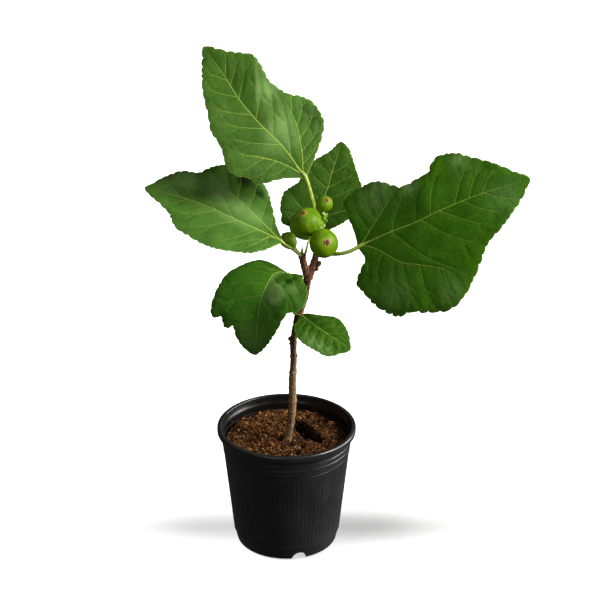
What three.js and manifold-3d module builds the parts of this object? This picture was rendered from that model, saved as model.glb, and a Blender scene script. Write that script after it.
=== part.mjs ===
// A young fig tree in a round nursery pot: two boughs, a green shoot, six leaves and five figs.
// Millimetres, +Z up, +X to the right and +Y to the back. The origin is the middle of the pot's underside.
import * as THREE from 'three';
import { mergeVertices } from 'three/addons/utils/BufferGeometryUtils.js';
import Module from 'manifold-3d';

const wasm = await Module();
wasm.setup();

// ---------------------------------------------------------------- driving dimensions

// Clear gap kept between two solids that meet.
const GAP = 0.3;

// The pot is a tapered tub with a rolled lip, two fine ledges and a groove below it.
const POT = {
  height: 156,
  lipRadius: 85,
  lipHeight: 8,
  lipInnerRadius: 79.5,
  lipRound: 2.4,
  neckRadius: 79,
  ledges: [
    { height: 139.2, radius: 78.4 },
    { height: 132, radius: 77.8 },
  ],
  grooveHeight: 123,
  grooveDepth: 0.8,
  wallTopRadius: 77.1,
  wallFootRadius: 65.2,
  footLedge: 17.5,
  footStep: 0.6,
  footRadius: 61.8,
  footRound: 6,
  wall: 1.8,
  floor: 3,
  segments: 48,
};

// Three drainage channels run out under the floor to arched notches in the foot.
const CHANNEL = {
  count: 3,
  firstAngle: -75,
  width: 19,
  height: 10.8,
  archRise: 10.8,
  innerRadius: 24,
  cover: 2.6,
};

// The compost fills the pot and lies a little mounded, with a level pad for the trunk.
const SOIL = {
  padHeight: 136,
  padRadius: 13,
  crown: 2.2,
  crownRadius: 44,
  edgeDrop: 0.8,
};

// A limb's stations are [x, y, z, radius] from its foot to its tip.
const TRUNK = {
  sides: 12,
  steps: 34,
  stations: [
    [0.8, 0, 130, 7],
    [1.4, 0.1, 136, 5.7],
    [2.4, 0.3, 143, 4.9],
    [5.5, 1, 162, 4.5],
    [7.4, 2, 188, 4.7],
    [7.3, 2.5, 216, 4.4],
    [8.8, 1, 244, 4.0],
    [8.4, -1, 270, 4.1],
    [11.6, -0.5, 289, 4.3],
    [15.6, 1, 309, 4.9],
    [21.0, 2, 327, 4.9],
    [24.4, 2, 345, 4.6],
    [26.2, 2, 362, 4.9],
  ],
  stub: [[8, -1, 273, 2.6], [5.2, -1.8, 274, 2.4], [3.0, -2.4, 274.6, 2.0]],
};

const BOUGH_LEFT = {
  sides: 10,
  steps: 10,
  stations: [[25.2, 2, 354, 4.2], [23.6, 1.2, 364, 4.1], [20.9, 0.2, 375.7, 3.7], [19.0, -0.8, 385, 3.5]],
};

const BOUGH_RIGHT = {
  sides: 10,
  steps: 12,
  stations: [[26.8, 2.4, 352, 4.6], [29.6, 4, 363, 4.6], [33.3, 6, 372, 4.3], [35.6, 8.4, 380, 4.0], [38.2, 11, 388, 3.6]],
  stub: [[34.6, 5.4, 370.5, 2.4], [38.5, 4, 371.4, 2.2], [40.3, 3.2, 373.4, 1.8]],
};

const SHOOT = {
  sides: 9,
  steps: 14,
  stations: [[38.3, 11.2, 388.6, 3.3], [40.4, 14, 402, 2.9], [43.2, 15.4, 416, 2.7], [45.3, 15.2, 428, 2.4], [45.8, 15, 431.6, 1.8]],
};

const BUD = {
  sides: 8,
  steps: 8,
  stations: [[18.9, -0.9, 385.7, 2.2], [18.8, -1.4, 389.4, 1.9], [19.1, -1.9, 393.6, 1.1], [19.3, -2.1, 396.6, 0.3]],
};

// Each leaf hangs on its stalk's path [x, y, z, radius] from the wood to the junction of its veins, and its
// blade runs from there to its tip. roll turns the blade about that line and arch bends the midrib down, both
// in degrees; archPower puts the bend near the stalk when it is under 1, and sway bows the midrib sideways.
// fold lifts the left and right halves off the midrib and curl lets them droop towards their margins.
// The margin is a closed round of [degrees from the midrib, distance from the junction], left side first.
const LEAVES = {
  leaf_top: {
    wood: 'shoot',
    stalk: [[43.4, 15.4, 417, 2.4], [40.4, 18.4, 425, 2.5], [34.9, 18, 439.4, 2.5], [31.2, 15.5, 452.2, 2.5], [26.9, 11.5, 467.5, 2.6]],
    junction: [21.3, 8, 484.5],
    tip: [-98, 98, 611],
    roll: 30, arch: 24, archPower: 1, sway: 6,
    fold: [9, 9], curl: [-10, -16],
    thickness: 2.2, around: 68, rings: 3,
    margin: [
      [0, 198], [3, 186], [9, 165], [13, 153], [21, 130], [28, 118], [34, 102], [44, 93], [51, 88], [55, 78], [58, 64],
      [66, 57], [67, 49], [64, 27], [90, 6], [180, 5], [-90, 6], [-66, 30], [-62, 57], [-58, 75], [-46, 94], [-38, 99],
      [-29, 101], [-23, 110], [-19, 124], [-18, 142], [-16, 160], [-13, 165], [-7, 176], [-3, 190],
    ],
  },
  leaf_left: {
    wood: 'bough_left',
    stalk: [[19.4, -0.6, 382, 1.9], [14.6, -3.0, 387.6, 1.9], [7.0, -6, 395.5, 1.8], [-0.6, -8, 401.4, 1.8]],
    junction: [-7, -8, 407.6],
    tip: [-168, 23, 462],
    roll: 22, arch: 26, archPower: 1, sway: 1,
    fold: [8, 6], curl: [-8, -10],
    thickness: 2, around: 68, rings: 3,
    margin: [
      [0, 174], [5, 160], [9, 146], [14, 136], [22, 129], [30, 112], [40, 92], [48, 70], [57, 50], [66, 26],
      [95, 6], [180, 4], [-80, 6], [-56, 22], [-58, 50], [-58, 76], [-54, 98], [-46, 117], [-36, 125], [-27, 128],
      [-21, 131], [-15, 149], [-8, 160], [-3, 168],
    ],
  },
  leaf_back: {
    wood: 'bough_left',
    stalk: [[20.8, 0.6, 378, 1.6], [24.2, 5, 390, 1.5], [27.2, 12, 398, 1.5], [33.4, 20, 402, 1.5], [39.2, 31, 404.4, 1.5], [40, 45, 405.4, 1.5]],
    junction: [35.2, 58, 407.2],
    tip: [66.2, 112, 484.5],
    roll: -18, arch: 12, archPower: 1, sway: -3,
    fold: [8, 8], curl: [-5, -5],
    thickness: 1.3, around: 56, rings: 3,
    margin: [
      [0, 99], [7, 84], [15, 76], [25, 69], [36, 58], [45, 50], [56, 50], [68, 51], [80, 48], [92, 44], [104, 41],
      [115, 41], [126, 32], [140, 22], [180, 8], [-124, 20], [-100, 26], [-84, 34], [-70, 42], [-58, 51], [-48, 58],
      [-38, 65], [-29, 69], [-20, 76], [-12, 86], [-6, 95],
    ],
  },
  leaf_right: {
    wood: 'bough_right',
    stalk: [[36.6, 9.6, 383.4, 2.3], [43.6, 3.6, 384.8, 2.4], [53.4, -4, 388, 2.5], [64.3, -10, 391.2, 2.5], [76.7, -13, 396.2, 2.5]],
    junction: [88.8, -12, 402.8],
    tip: [285.6, -35, 498.4],
    roll: -45, arch: 16, archPower: 1, sway: 2,
    fold: [8, 8], curl: [-16, -10],
    thickness: 2.4, around: 76, rings: 3,
    margin: [
      [0, 220], [4, 205], [11, 184], [17, 168], [23, 157], [27, 146], [29, 135], [28, 125], [26, 117], [29, 100],
      [34, 83], [45, 79], [60, 79], [72, 75], [86, 69], [97, 63], [99, 45], [99, 24], [125, 7], [180, 5], [-110, 7], [-86, 20],
      [-102, 30], [-110, 41], [-110, 49], [-100, 60], [-92, 76], [-84, 93], [-77, 107], [-70, 112], [-62, 129],
      [-54, 149], [-46, 155], [-38, 157], [-29, 160], [-22, 165], [-15, 182], [-8, 200], [-3, 213],
    ],
  },
  leaf_lower_left: {
    wood: 'trunk',
    stalk: [[21.2, 1.8, 328, 1.6], [17.4, -5, 338, 1.6], [11.6, -14, 352, 1.5], [6.4, -21, 365, 1.5]],
    junction: [3.2, -25, 372.4],
    tip: [-37, -92, 296],
    roll: -7, arch: 120, archPower: 0.6, sway: -4,
    fold: [7, 18], curl: [-10, -6],
    thickness: 1.6, around: 60, rings: 3,
    margin: [
      [0, 124], [7, 116], [14, 106], [21, 95], [28, 84], [34, 79], [41, 82], [47, 80], [55, 69], [60, 55], [61, 44],
      [70, 33], [85, 21], [110, 10], [180, 6], [-118, 12], [-112, 24], [-100, 37], [-86, 41], [-72, 46], [-61, 57],
      [-55, 68], [-47, 79], [-41, 89], [-34, 103], [-30, 103], [-27, 97], [-21, 104], [-19, 103], [-16, 98], [-12, 107],
      [-8, 115],
    ],
  },
  leaf_lower_right: {
    wood: 'trunk',
    stalk: [[14.6, 0.8, 306, 1.3], [9.6, -3.6, 309.4, 1.2], [8.6, -7, 311.2, 1.2], [13.0, -11.2, 311.4, 1.2]],
    junction: [20, -14, 310.2],
    tip: [77, -45, 281],
    roll: -8, arch: 16, archPower: 1, sway: -3,
    fold: [8, 8], curl: [-10, -10],
    thickness: 1, around: 48, rings: 3,
    margin: [
      [0, 71], [10, 64], [20, 59], [31, 54], [41, 48], [48, 41], [51, 30], [56, 19], [90, 7], [180, 3], [-95, 10],
      [-84, 24], [-72, 32], [-63, 38], [-53, 44], [-43, 50], [-37, 56], [-32, 63], [-24, 67], [-15, 68], [-7, 71],
    ],
  },
};

// Each fig is a turned body round the line from its middle to its eye, on a short stalk from the wood.
const FIGS = {
  fig_front: {
    wood: 'shoot', centre: [25.1, 4, 426], eye: [-0.27, -0.39, 0.88], radius: 17.7, length: 36, foot: [41, 14.4, 405],
  },
  fig_rear: {
    wood: 'shoot', centre: [19.5, 37.4, 406.6], eye: [-0.64, 0.38, 0.66], radius: 16.4, length: 36, foot: [39.8, 13.4, 398],
  },
  fig_low: {
    wood: 'bough_right', centre: [44.6, -19.5, 408.8], eye: [0.24, -0.84, 0.48], radius: 17.4, length: 36, foot: [38, 10.8, 387],
  },
  fig_top: {
    wood: 'shoot', centre: [46.8, 22, 442.2], eye: [0.27, -0.62, 0.74], radius: 9.4, length: 21, foot: [45.3, 15.2, 428],
  },
  fig_left: {
    wood: 'bough_left', centre: [2.2, 11.4, 399.3], eye: [-0.64, 0.3, 0.71], radius: 10.2, length: 23, foot: [19.8, -0.4, 381],
  },
};
const FIG_STALK_RADIUS = 1.9;

// ---------------------------------------------------------------- materials

const MATERIALS = {
  pot: new THREE.MeshStandardMaterial({ color: 0x1b1c1e, roughness: 0.55, metalness: 0 }),
  soil: new THREE.MeshStandardMaterial({ color: 0x2c2017, roughness: 1, metalness: 0 }),
  bark: new THREE.MeshStandardMaterial({ color: 0x5a3d2b, roughness: 0.85, metalness: 0 }),
  green_wood: new THREE.MeshStandardMaterial({ color: 0x7d9a2f, roughness: 0.6, metalness: 0 }),
  leaf: new THREE.MeshStandardMaterial({ color: 0x3f6324, roughness: 0.55, metalness: 0 }),
  fig: new THREE.MeshStandardMaterial({ color: 0x76a01c, roughness: 0.45, metalness: 0 }),
};

// ---------------------------------------------------------------- closed meshes and solids

// Leaves only merged positions, as a closed mesh needs.
function merged(geometry) {
  geometry.deleteAttribute('normal');
  geometry.deleteAttribute('uv');
  return mergeVertices(geometry, 1e-4);
}

function toSolid(geometry) {
  const mesh = new wasm.Mesh({
    numProp: 3,
    vertProperties: Float32Array.from(geometry.attributes.position.array),
    triVerts: Uint32Array.from(geometry.index.array),
  });
  return new wasm.Manifold(mesh);
}

function toGeometry(solid) {
  const mesh = solid.getMesh();
  const geometry = new THREE.BufferGeometry();
  geometry.setAttribute('position', new THREE.BufferAttribute(mesh.vertProperties, 3));
  geometry.setIndex(new THREE.BufferAttribute(mesh.triVerts, 1));
  geometry.computeVertexNormals();
  return geometry;
}

// The largest body of a cut solid; a loose scrap that a cut leaves on the far side is dropped.
function largest(solid) {
  return solid.decompose().reduce((best, body) => (body.volume() > best.volume() ? body : best));
}

function turned(profile, segments) {
  const points = profile.map(([radius, height]) => new THREE.Vector2(radius, height));
  const geometry = new THREE.LatheGeometry(points, segments);
  geometry.rotateX(Math.PI / 2);
  return merged(geometry);
}

// A curve through stations, with the radius carried along at the same parameter.
function track(stations) {
  const path = new THREE.CatmullRomCurve3(stations.map(([x, y, z]) => new THREE.Vector3(x, y, z)));
  const radii = new THREE.CatmullRomCurve3(stations.map((station) => new THREE.Vector3(station[3], 0, 0)));
  return { path, radiusAt: (t) => radii.getPoint(t).x };
}

// A capped cylinder bent along its stations; grow makes it fatter all round, to cut its neighbours clear.
function limb(stations, sides, steps, grow = 0) {
  const { path, radiusAt } = track(stations);
  const geometry = merged(new THREE.CylinderGeometry(1, 1, 1, sides, steps));
  const chord = path.getPoint(1).sub(path.getPoint(0)).normalize();
  const level = Math.abs(chord.z) < 0.8;
  const reference = level ? new THREE.Vector3(0, 0, 1) : new THREE.Vector3(1, 0, 0);
  const position = geometry.attributes.position;
  for (let i = 0; i < position.count; i++) {
    const t = position.getY(i) + 0.5;
    const tangent = path.getTangent(t);
    const side = reference.clone().addScaledVector(tangent, -reference.dot(tangent)).normalize();
    const front = side.clone().cross(tangent);
    const radius = radiusAt(t) + grow;
    const point = path.getPoint(t).addScaledVector(tangent, grow * (2 * t - 1));
    point.addScaledVector(side, radius * position.getX(i));
    point.addScaledVector(front, radius * position.getZ(i));
    position.setXYZ(i, point.x, point.y, point.z);
  }
  return toSolid(geometry);
}

// ---------------------------------------------------------------- pot and compost

// The wall's outer radius at a height between the foot ledge and the groove.
function wallRadius(height) {
  const share = (height - POT.footLedge) / (POT.grooveHeight - POT.footLedge);
  return THREE.MathUtils.lerp(POT.wallFootRadius, POT.wallTopRadius, share);
}

// The pot's inside from the foot ledge down to its floor, drawn in by gap.
function footInside(gap) {
  const inner = POT.footRadius - POT.wall - gap;
  return [
    [POT.wallFootRadius - POT.wall - gap, POT.footLedge],
    [inner, POT.footRound],
    [inner - POT.footRound / 2, POT.floor],
  ];
}

function potProfile() {
  const { height, lipRadius, lipRound, neckRadius, footLedge, footStep, footRadius, footRound, wall } = POT;
  const lipFoot = height - POT.lipHeight;
  const profile = [[0, 0], [footRadius - footRound, 0], [footRadius - footRound * 0.3, footRound * 0.3]];
  profile.push([footRadius, footRound], [POT.wallFootRadius - footStep, footLedge - 0.6]);
  profile.push([POT.wallFootRadius, footLedge]);
  profile.push([wallRadius(60), 60], [POT.wallTopRadius, POT.grooveHeight - 1.4]);
  profile.push([POT.wallTopRadius - POT.grooveDepth, POT.grooveHeight]);
  const rising = [...POT.ledges].reverse();
  profile.push([rising[0].radius, POT.grooveHeight + 1]);
  for (let i = 0; i < rising.length; i++) {
    const next = i + 1 < rising.length ? rising[i + 1].radius : neckRadius;
    profile.push([rising[i].radius, rising[i].height - 0.5], [next, rising[i].height + 0.3]);
  }
  profile.push([neckRadius, lipFoot], [lipRadius - 1, lipFoot], [lipRadius, lipFoot + 1.2]);
  profile.push([lipRadius, height - lipRound], [lipRadius - lipRound * 0.3, height - lipRound * 0.3]);
  profile.push([lipRadius - lipRound, height], [POT.lipInnerRadius + 1, height]);
  profile.push([POT.lipInnerRadius, height - 1]);
  profile.push([neckRadius - wall, lipFoot - 2], [POT.wallTopRadius - wall, POT.grooveHeight]);
  profile.push(...footInside(0), [0, POT.floor]);
  return profile;
}

// An upright block along a radius from near to far, whose top is an arch that rises by the given height.
function radialBlock(angle, near, far, width, low, high, rise) {
  const outline = new THREE.Shape();
  outline.moveTo(-width / 2, low);
  outline.lineTo(width / 2, low);
  if (rise > 0) {
    outline.lineTo(width / 2, high - rise);
    outline.absellipse(0, high - rise, width / 2, rise, 0, Math.PI, false);
  } else {
    outline.lineTo(width / 2, high);
    outline.lineTo(-width / 2, high);
  }
  const geometry = new THREE.ExtrudeGeometry(outline, { depth: far - near, bevelEnabled: false, curveSegments: 8 });
  geometry.rotateX(Math.PI / 2);
  geometry.translate(0, -near, 0);
  geometry.rotateZ(THREE.MathUtils.degToRad(angle + 90));
  return toSolid(merged(geometry));
}

function channelAngles() {
  const turn = 360 / CHANNEL.count;
  return Array.from({ length: CHANNEL.count }, (_, i) => CHANNEL.firstAngle + i * turn);
}

// The raised covers of the channels inside the pot, fatter by grow. Their far ends are rounded inside its wall.
function channelCover(angle, grow) {
  const width = CHANNEL.width + 2 * CHANNEL.cover + 2 * grow;
  const top = CHANNEL.height + CHANNEL.cover + grow;
  const near = CHANNEL.innerRadius - CHANNEL.cover - grow;
  const { footRadius, footRound } = POT;
  const slant = (POT.wallFootRadius - POT.footStep - footRadius) / (POT.footLedge - footRound);
  const end = footRadius - GAP + (top - footRound) * slant;
  const outline = [[0, 0], [footRadius - footRound, 0], [footRadius - GAP, footRound], [end, top], [0, top]];
  const core = turned(outline, POT.segments);
  const block = radialBlock(angle, near, POT.wallFootRadius, width, POT.floor / 2, top, 0);
  return block.intersect(toSolid(core));
}

function makePot() {
  let pot = toSolid(turned(potProfile(), POT.segments));
  for (const angle of channelAngles()) {
    pot = pot.add(channelCover(angle, 0));
  }
  for (const angle of channelAngles()) {
    const { innerRadius, width, height, archRise } = CHANNEL;
    pot = pot.subtract(radialBlock(angle, innerRadius, POT.lipRadius, width, -1, height, archRise));
  }
  return pot;
}

function makeSoil() {
  const { padHeight, padRadius, crown, crownRadius, edgeDrop } = SOIL;
  const inner = POT.wallTopRadius - POT.wall;
  const edge = THREE.MathUtils.lerp(inner, POT.neckRadius - POT.wall, 0.5) - 2 * GAP;
  const [ledge, bend, low] = footInside(2 * GAP);
  const profile = [
    [0, POT.floor + GAP],
    [low[0], POT.floor + GAP],
    bend,
    ledge,
    [inner - 2 * GAP, POT.grooveHeight],
    [edge, padHeight - edgeDrop],
    [edge - 8, padHeight + crown * 0.4],
    [crownRadius, padHeight + crown],
    [padRadius + 9, padHeight + crown * 0.6],
    [padRadius, padHeight],
    [0, padHeight],
  ];
  let soil = toSolid(turned(profile, POT.segments));
  for (const angle of channelAngles()) {
    soil = soil.subtract(channelCover(angle, GAP));
  }
  return soil;
}

// ---------------------------------------------------------------- wood

// Everything of the trunk below the compost's pad, for its level cut.
function belowGround() {
  const geometry = new THREE.BoxGeometry(60, 60, 40);
  geometry.translate(0, 0, SOIL.padHeight + GAP - 20);
  return toSolid(merged(geometry));
}

function makeWood() {
  const body = (part, grow) => limb(part.stations, part.sides, part.steps, grow);
  const withStub = (part, grow) => body(part, grow).add(limb(part.stub, 8, 4, grow));
  const right = withStub(BOUGH_RIGHT, 0).subtract(body(TRUNK, GAP));
  const left = body(BOUGH_LEFT, 0).subtract(body(TRUNK, GAP)).subtract(withStub(BOUGH_RIGHT, GAP));
  const solids = { trunk: withStub(TRUNK, 0).subtract(belowGround()), bough_left: left, bough_right: right };
  solids.shoot = body(SHOOT, 0).subtract(withStub(BOUGH_RIGHT, GAP));
  solids.bud = body(BUD, 0).subtract(body(BOUGH_LEFT, GAP));
  const rightSide = withStub(BOUGH_RIGHT, GAP).add(body(SHOOT, GAP));
  const keepOut = {
    trunk: withStub(TRUNK, GAP),
    bough_left: body(BOUGH_LEFT, GAP).add(body(BUD, GAP)),
    bough_right: rightSide,
    shoot: rightSide,
  };
  return { solids, keepOut };
}

// ---------------------------------------------------------------- leaves

const BEND_STEPS = 32;

// Places points of the flat blade, x along the midrib and y to its left, on the bent blade.
function bladeSurface(leaf) {
  const junction = new THREE.Vector3(...leaf.junction);
  const chord = new THREE.Vector3(...leaf.tip).sub(junction);
  const reach = chord.length();
  chord.normalize();
  const upright = new THREE.Vector3(0, 0, 1).addScaledVector(chord, -chord.z).normalize();
  const roll = THREE.MathUtils.degToRad(leaf.roll);
  const normal = upright.clone().applyAxisAngle(chord, -roll);
  const left = normal.clone().cross(chord);

  const arch = THREE.MathUtils.degToRad(leaf.arch);
  const slope = (share) => -arch * share ** leaf.archPower;
  const run = [[0, 0]];
  for (let i = 0; i < BEND_STEPS; i++) {
    const angle = slope((i + 0.5) / BEND_STEPS);
    const [x, z] = run[i];
    run.push([x + Math.cos(angle) / BEND_STEPS, z + Math.sin(angle) / BEND_STEPS]);
  }
  const [endX, endZ] = run[BEND_STEPS];
  const drop = Math.atan2(endZ, endX);
  const length = reach / Math.hypot(endX, endZ);

  function midrib(x) {
    const share = THREE.MathUtils.clamp(x / length, 0, 1);
    const index = Math.min(Math.floor(share * BEND_STEPS), BEND_STEPS - 1);
    const part = share * BEND_STEPS - index;
    const flatX = THREE.MathUtils.lerp(run[index][0], run[index + 1][0], part) * length;
    const flatZ = THREE.MathUtils.lerp(run[index][1], run[index + 1][1], part) * length;
    const heading = slope(share) - drop;
    const beyond = x - share * length;
    return {
      along: flatX * Math.cos(drop) + flatZ * Math.sin(drop) + beyond * Math.cos(heading),
      rise: flatZ * Math.cos(drop) - flatX * Math.sin(drop) + beyond * Math.sin(heading),
      heading,
      share,
    };
  }

  return function place(x, y, offset) {
    const { along, rise, heading, share } = midrib(x);
    const half = y >= 0 ? 0 : 1;
    const lift = THREE.MathUtils.degToRad(leaf.fold[half] + leaf.curl[half] * (Math.abs(y) / (0.5 * length)));
    const sideways = y * Math.cos(lift) + leaf.sway * 4 * share * (1 - share);
    const height = (Math.sqrt(y * y + 16) - 4) * Math.sin(lift) + offset;
    return junction.clone()
      .addScaledVector(chord, along - Math.sin(heading) * height)
      .addScaledVector(normal, rise + Math.cos(heading) * height)
      .addScaledVector(left, sideways);
  };
}

// A sphere pressed flat: its upper rows become the blade's face, its lower rows the back, and the two rows
// beside its equator the margin's edge.
function makeBlade(leaf) {
  const place = bladeSurface(leaf);
  const points = leaf.margin.map(([degrees, distance]) => {
    const angle = THREE.MathUtils.degToRad(degrees);
    return new THREE.Vector3(distance * Math.cos(angle), distance * Math.sin(angle), 0);
  });
  const outline = new THREE.CatmullRomCurve3(points, true, 'centripetal');
  outline.arcLengthDivisions = 600;
  const heart = new THREE.Vector3(0.34 * leaf.margin[0][1], 0, 0);
  const rows = 2 * leaf.rings + 1;
  const geometry = merged(new THREE.SphereGeometry(1, leaf.around, rows));
  const position = geometry.attributes.position;
  for (let i = 0; i < position.count; i++) {
    const x = position.getX(i);
    const y = THREE.MathUtils.clamp(position.getY(i), -1, 1);
    const z = position.getZ(i);
    const row = Math.round((Math.acos(y) / Math.PI) * rows);
    const ring = Math.min(row, rows - row) / leaf.rings;
    const turn = ring === 0 ? 0 : (Math.atan2(z, -x) / (2 * Math.PI) + 1) % 1;
    const spot = heart.clone().lerp(outline.getPointAt(turn), ring ** 0.9);
    const point = place(spot.x, spot.y, y > 0 ? leaf.thickness / 2 : -leaf.thickness / 2);
    position.setXYZ(i, point.x, point.y, point.z);
  }
  return toSolid(geometry);
}

function makeLeaf(leaf, keepOut) {
  const place = bladeSurface(leaf);
  const last = leaf.stalk[leaf.stalk.length - 1][3];
  const joint = [...leaf.junction, last * 0.9];
  const inside = [...place(7, 0, 0).toArray(), last * 0.5];
  const stalk = limb([...leaf.stalk, joint, inside], 7, 2 * leaf.stalk.length + 3);
  return makeBlade(leaf).add(stalk).subtract(keepOut[leaf.wood]);
}

// ---------------------------------------------------------------- figs

// The body runs from its neck at the stalk to the small raised ring round its eye.
function figProfile({ radius, length }) {
  const neck = -(length - radius);
  const profile = [[0, neck]];
  const rows = 9;
  for (let i = 1; i < rows; i++) {
    const angle = Math.PI * (i / rows);
    const below = angle < Math.PI / 2;
    const reach = below ? -neck : radius * 0.94;
    const narrow = below ? 1 - 0.12 * Math.cos(angle) : 1;
    profile.push([radius * Math.sin(angle) * narrow, -reach * Math.cos(angle)]);
  }
  profile.push([radius * 0.17, radius * 0.97], [0, radius * 0.93]);
  return profile;
}

function makeFig(fig, keepOut) {
  const body = turned(figProfile(fig), 16);
  const centre = new THREE.Vector3(...fig.centre);
  const eye = new THREE.Vector3(...fig.eye).normalize();
  const turn = new THREE.Quaternion().setFromUnitVectors(new THREE.Vector3(0, 0, 1), eye);
  body.applyQuaternion(turn);
  body.translate(...fig.centre);
  const neck = centre.clone().addScaledVector(eye, -(fig.length - fig.radius) * 0.9);
  const foot = new THREE.Vector3(...fig.foot);
  const bend = neck.clone().lerp(foot, 0.5).addScaledVector(eye, -FIG_STALK_RADIUS);
  const inside = neck.clone().lerp(centre, 0.4);
  const stations = [foot, bend, neck, inside].map((point) => [...point.toArray(), FIG_STALK_RADIUS]);
  return toSolid(body).add(limb(stations, 7, 6)).subtract(keepOut[fig.wood]);
}

// ---------------------------------------------------------------- the plant

const plant = new THREE.Group();

function addNode(name, solid, material) {
  const mesh = new THREE.Mesh(toGeometry(largest(solid)), MATERIALS[material]);
  mesh.name = name;
  plant.add(mesh);
}

const { solids: wood, keepOut } = makeWood();

addNode('pot', makePot(), 'pot');
addNode('soil', makeSoil(), 'soil');
addNode('trunk', wood.trunk, 'bark');
addNode('bough_left', wood.bough_left, 'bark');
addNode('bough_right', wood.bough_right, 'bark');
addNode('shoot', wood.shoot, 'green_wood');
addNode('bud', wood.bud, 'green_wood');
for (const [name, leaf] of Object.entries(LEAVES)) {
  addNode(name, makeLeaf(leaf, keepOut), 'leaf');
}
for (const [name, fig] of Object.entries(FIGS)) {
  addNode(name, makeFig(fig, keepOut), 'fig');
}

export default plant;
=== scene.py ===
"""A young fig tree in a nursery pot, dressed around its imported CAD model; lengths are in millimetres."""

import itertools
import math

import bpy
import numpy as np
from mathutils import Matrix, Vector
from mathutils.geometry import delaunay_2d_cdt


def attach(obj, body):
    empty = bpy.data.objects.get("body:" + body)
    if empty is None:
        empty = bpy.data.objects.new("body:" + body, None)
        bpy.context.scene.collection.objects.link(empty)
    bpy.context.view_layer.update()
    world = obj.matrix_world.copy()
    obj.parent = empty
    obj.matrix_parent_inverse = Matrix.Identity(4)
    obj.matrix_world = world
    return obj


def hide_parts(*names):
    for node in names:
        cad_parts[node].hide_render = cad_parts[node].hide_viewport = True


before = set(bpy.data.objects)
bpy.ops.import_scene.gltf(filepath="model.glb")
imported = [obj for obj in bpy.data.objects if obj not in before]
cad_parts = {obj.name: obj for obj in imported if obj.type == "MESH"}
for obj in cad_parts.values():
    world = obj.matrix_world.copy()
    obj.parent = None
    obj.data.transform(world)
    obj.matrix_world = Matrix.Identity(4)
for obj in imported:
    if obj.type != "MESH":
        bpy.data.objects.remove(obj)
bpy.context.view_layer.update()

MM = 0.001

# ---------------------------------------------------------------- sizes, as the CAD model has them

POT = {
    "height": 156, "lip_radius": 85, "lip_height": 8, "lip_inner_radius": 79.5, "lip_round": 2.4,
    "neck_radius": 79, "ledges": [(139.2, 78.4), (132, 77.8)], "groove_height": 123, "groove_depth": 0.8,
    "wall_top_radius": 77.1, "wall_foot_radius": 65.2, "foot_ledge": 17.5, "foot_radius": 61.8,
    "foot_round": 6, "wall": 1.8, "floor": 3, "flutes": 80, "flute_depth": 0.38, "inner_ledge": 138,
    "columns_per_flute": 8, "flute_variation": (0.45, 1.15), "lip_under_round": 1.6, "lip_inner_round": 1.2,
    "wall_rows": [34, 50, 70, 90, 108],
}
CHANNEL = {
    "count": 3, "first_angle": -75, "width": 19, "height": 10.8, "rise": 10.8, "inner_radius": 24,
    "cover": 2.6,
}

# The compost's hollows are [x, y, reach, depth], and each hollow's depth also sets painted shade in it; the
# broad shallow one at the back right mostly paints the shade of the pot's rim. Its relief is [height,
# distance across, seed] of each noise.
SOIL = {
    "level": 136, "crown": 2.2, "crown_radius": 44, "edge": 75.2, "edge_drop": 0.8,
    "hollows": [
        (12, 40, 6, 7), (17, 32, 7, 12), (22, 22, 7.5, 15), (27, 12, 7.5, 15), (32, 4, 6.5, 13),
        (38, -4, 6, 9), (-7, -1, 4, 6), (6, -11, 4, 7), (-42, -6, 12, 2.2), (20, -34, 12, 2), (46, 48, 15, 2),
    ],
    "foot_radius": 61, "shoulder": 58, "shoulder_width": 18, "clearance": 0.4,
    "relief": [(1.6, 14, 5), (2.3, 6, 6), (1.1, 2.6, 7)], "hollow_shade": 0.085, "rings": 92, "around": 300,
}

# What lies on the compost: how many, how far from its edge at least, the smallest size and the largest.
STREWN = {
    "lumps": (3100, 2.4, 1.0, 2.7), "crumbs": (1500, 2.4, 0.5, 1.2), "fibres": (260, 6, 3, 9),
    "white_bits": (26, 8, 0.6, 1.3),
}

# A limb's stations are [x, y, z, radius] from foot to tip. Its rings are [z, height of the swelling, width].
TRUNK = {
    "stations": [
        [0.8, 0, 130, 7.4], [1.4, 0.1, 136, 5.7], [2.4, 0.3, 143, 4.9], [5.5, 1, 162, 4.5],
        [7.4, 2, 188, 4.7], [7.3, 2.5, 216, 4.4], [8.8, 1, 244, 4], [8.4, -1, 270, 4.1],
        [11.6, -0.5, 289, 4.3], [15.6, 1, 309, 4.9], [21, 2, 327, 4.9], [24.4, 2, 345, 4.6],
        [26.2, 2, 362, 4.9],
    ],
    "stub": [[8, -1, 272, 3.2], [5.2, -1.8, 274, 3], [2.8, -2.4, 275.4, 2.5]],
    "bump": [[9, 0.5, 250, 3.6], [12.2, -0.6, 251.6, 2.1], [13.8, -1, 252.4, 1]],
    "rings": [
        [156, 0.4, 2], [175, 0.5, 1.6], [188, 0.7, 2], [207, 0.45, 1.4], [220, 0.45, 1.2], [227, 0.8, 1.6],
        [249, 0.6, 2.2], [268, 0.8, 1.6], [285, 0.35, 1.2], [297, 0.4, 1.3], [308, 0.8, 2.4], [316, 0.3, 1.4],
        [327, 0.6, 2], [336, 0.3, 1.2], [345, 0.5, 1.5], [353, 0.3, 1.2], [360, 0.4, 1.6], [368, 0.4, 1.3],
        [375, 0.4, 1.2], [382, 0.35, 1.2],
    ],
}
BOUGH_LEFT = {
    "stations": [[25.2, 2, 354, 4.2], [23.4, 1.2, 364, 4.4], [20.4, 0.2, 375.7, 4.3], [18.6, -0.8, 385, 4.5]],
}
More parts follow.
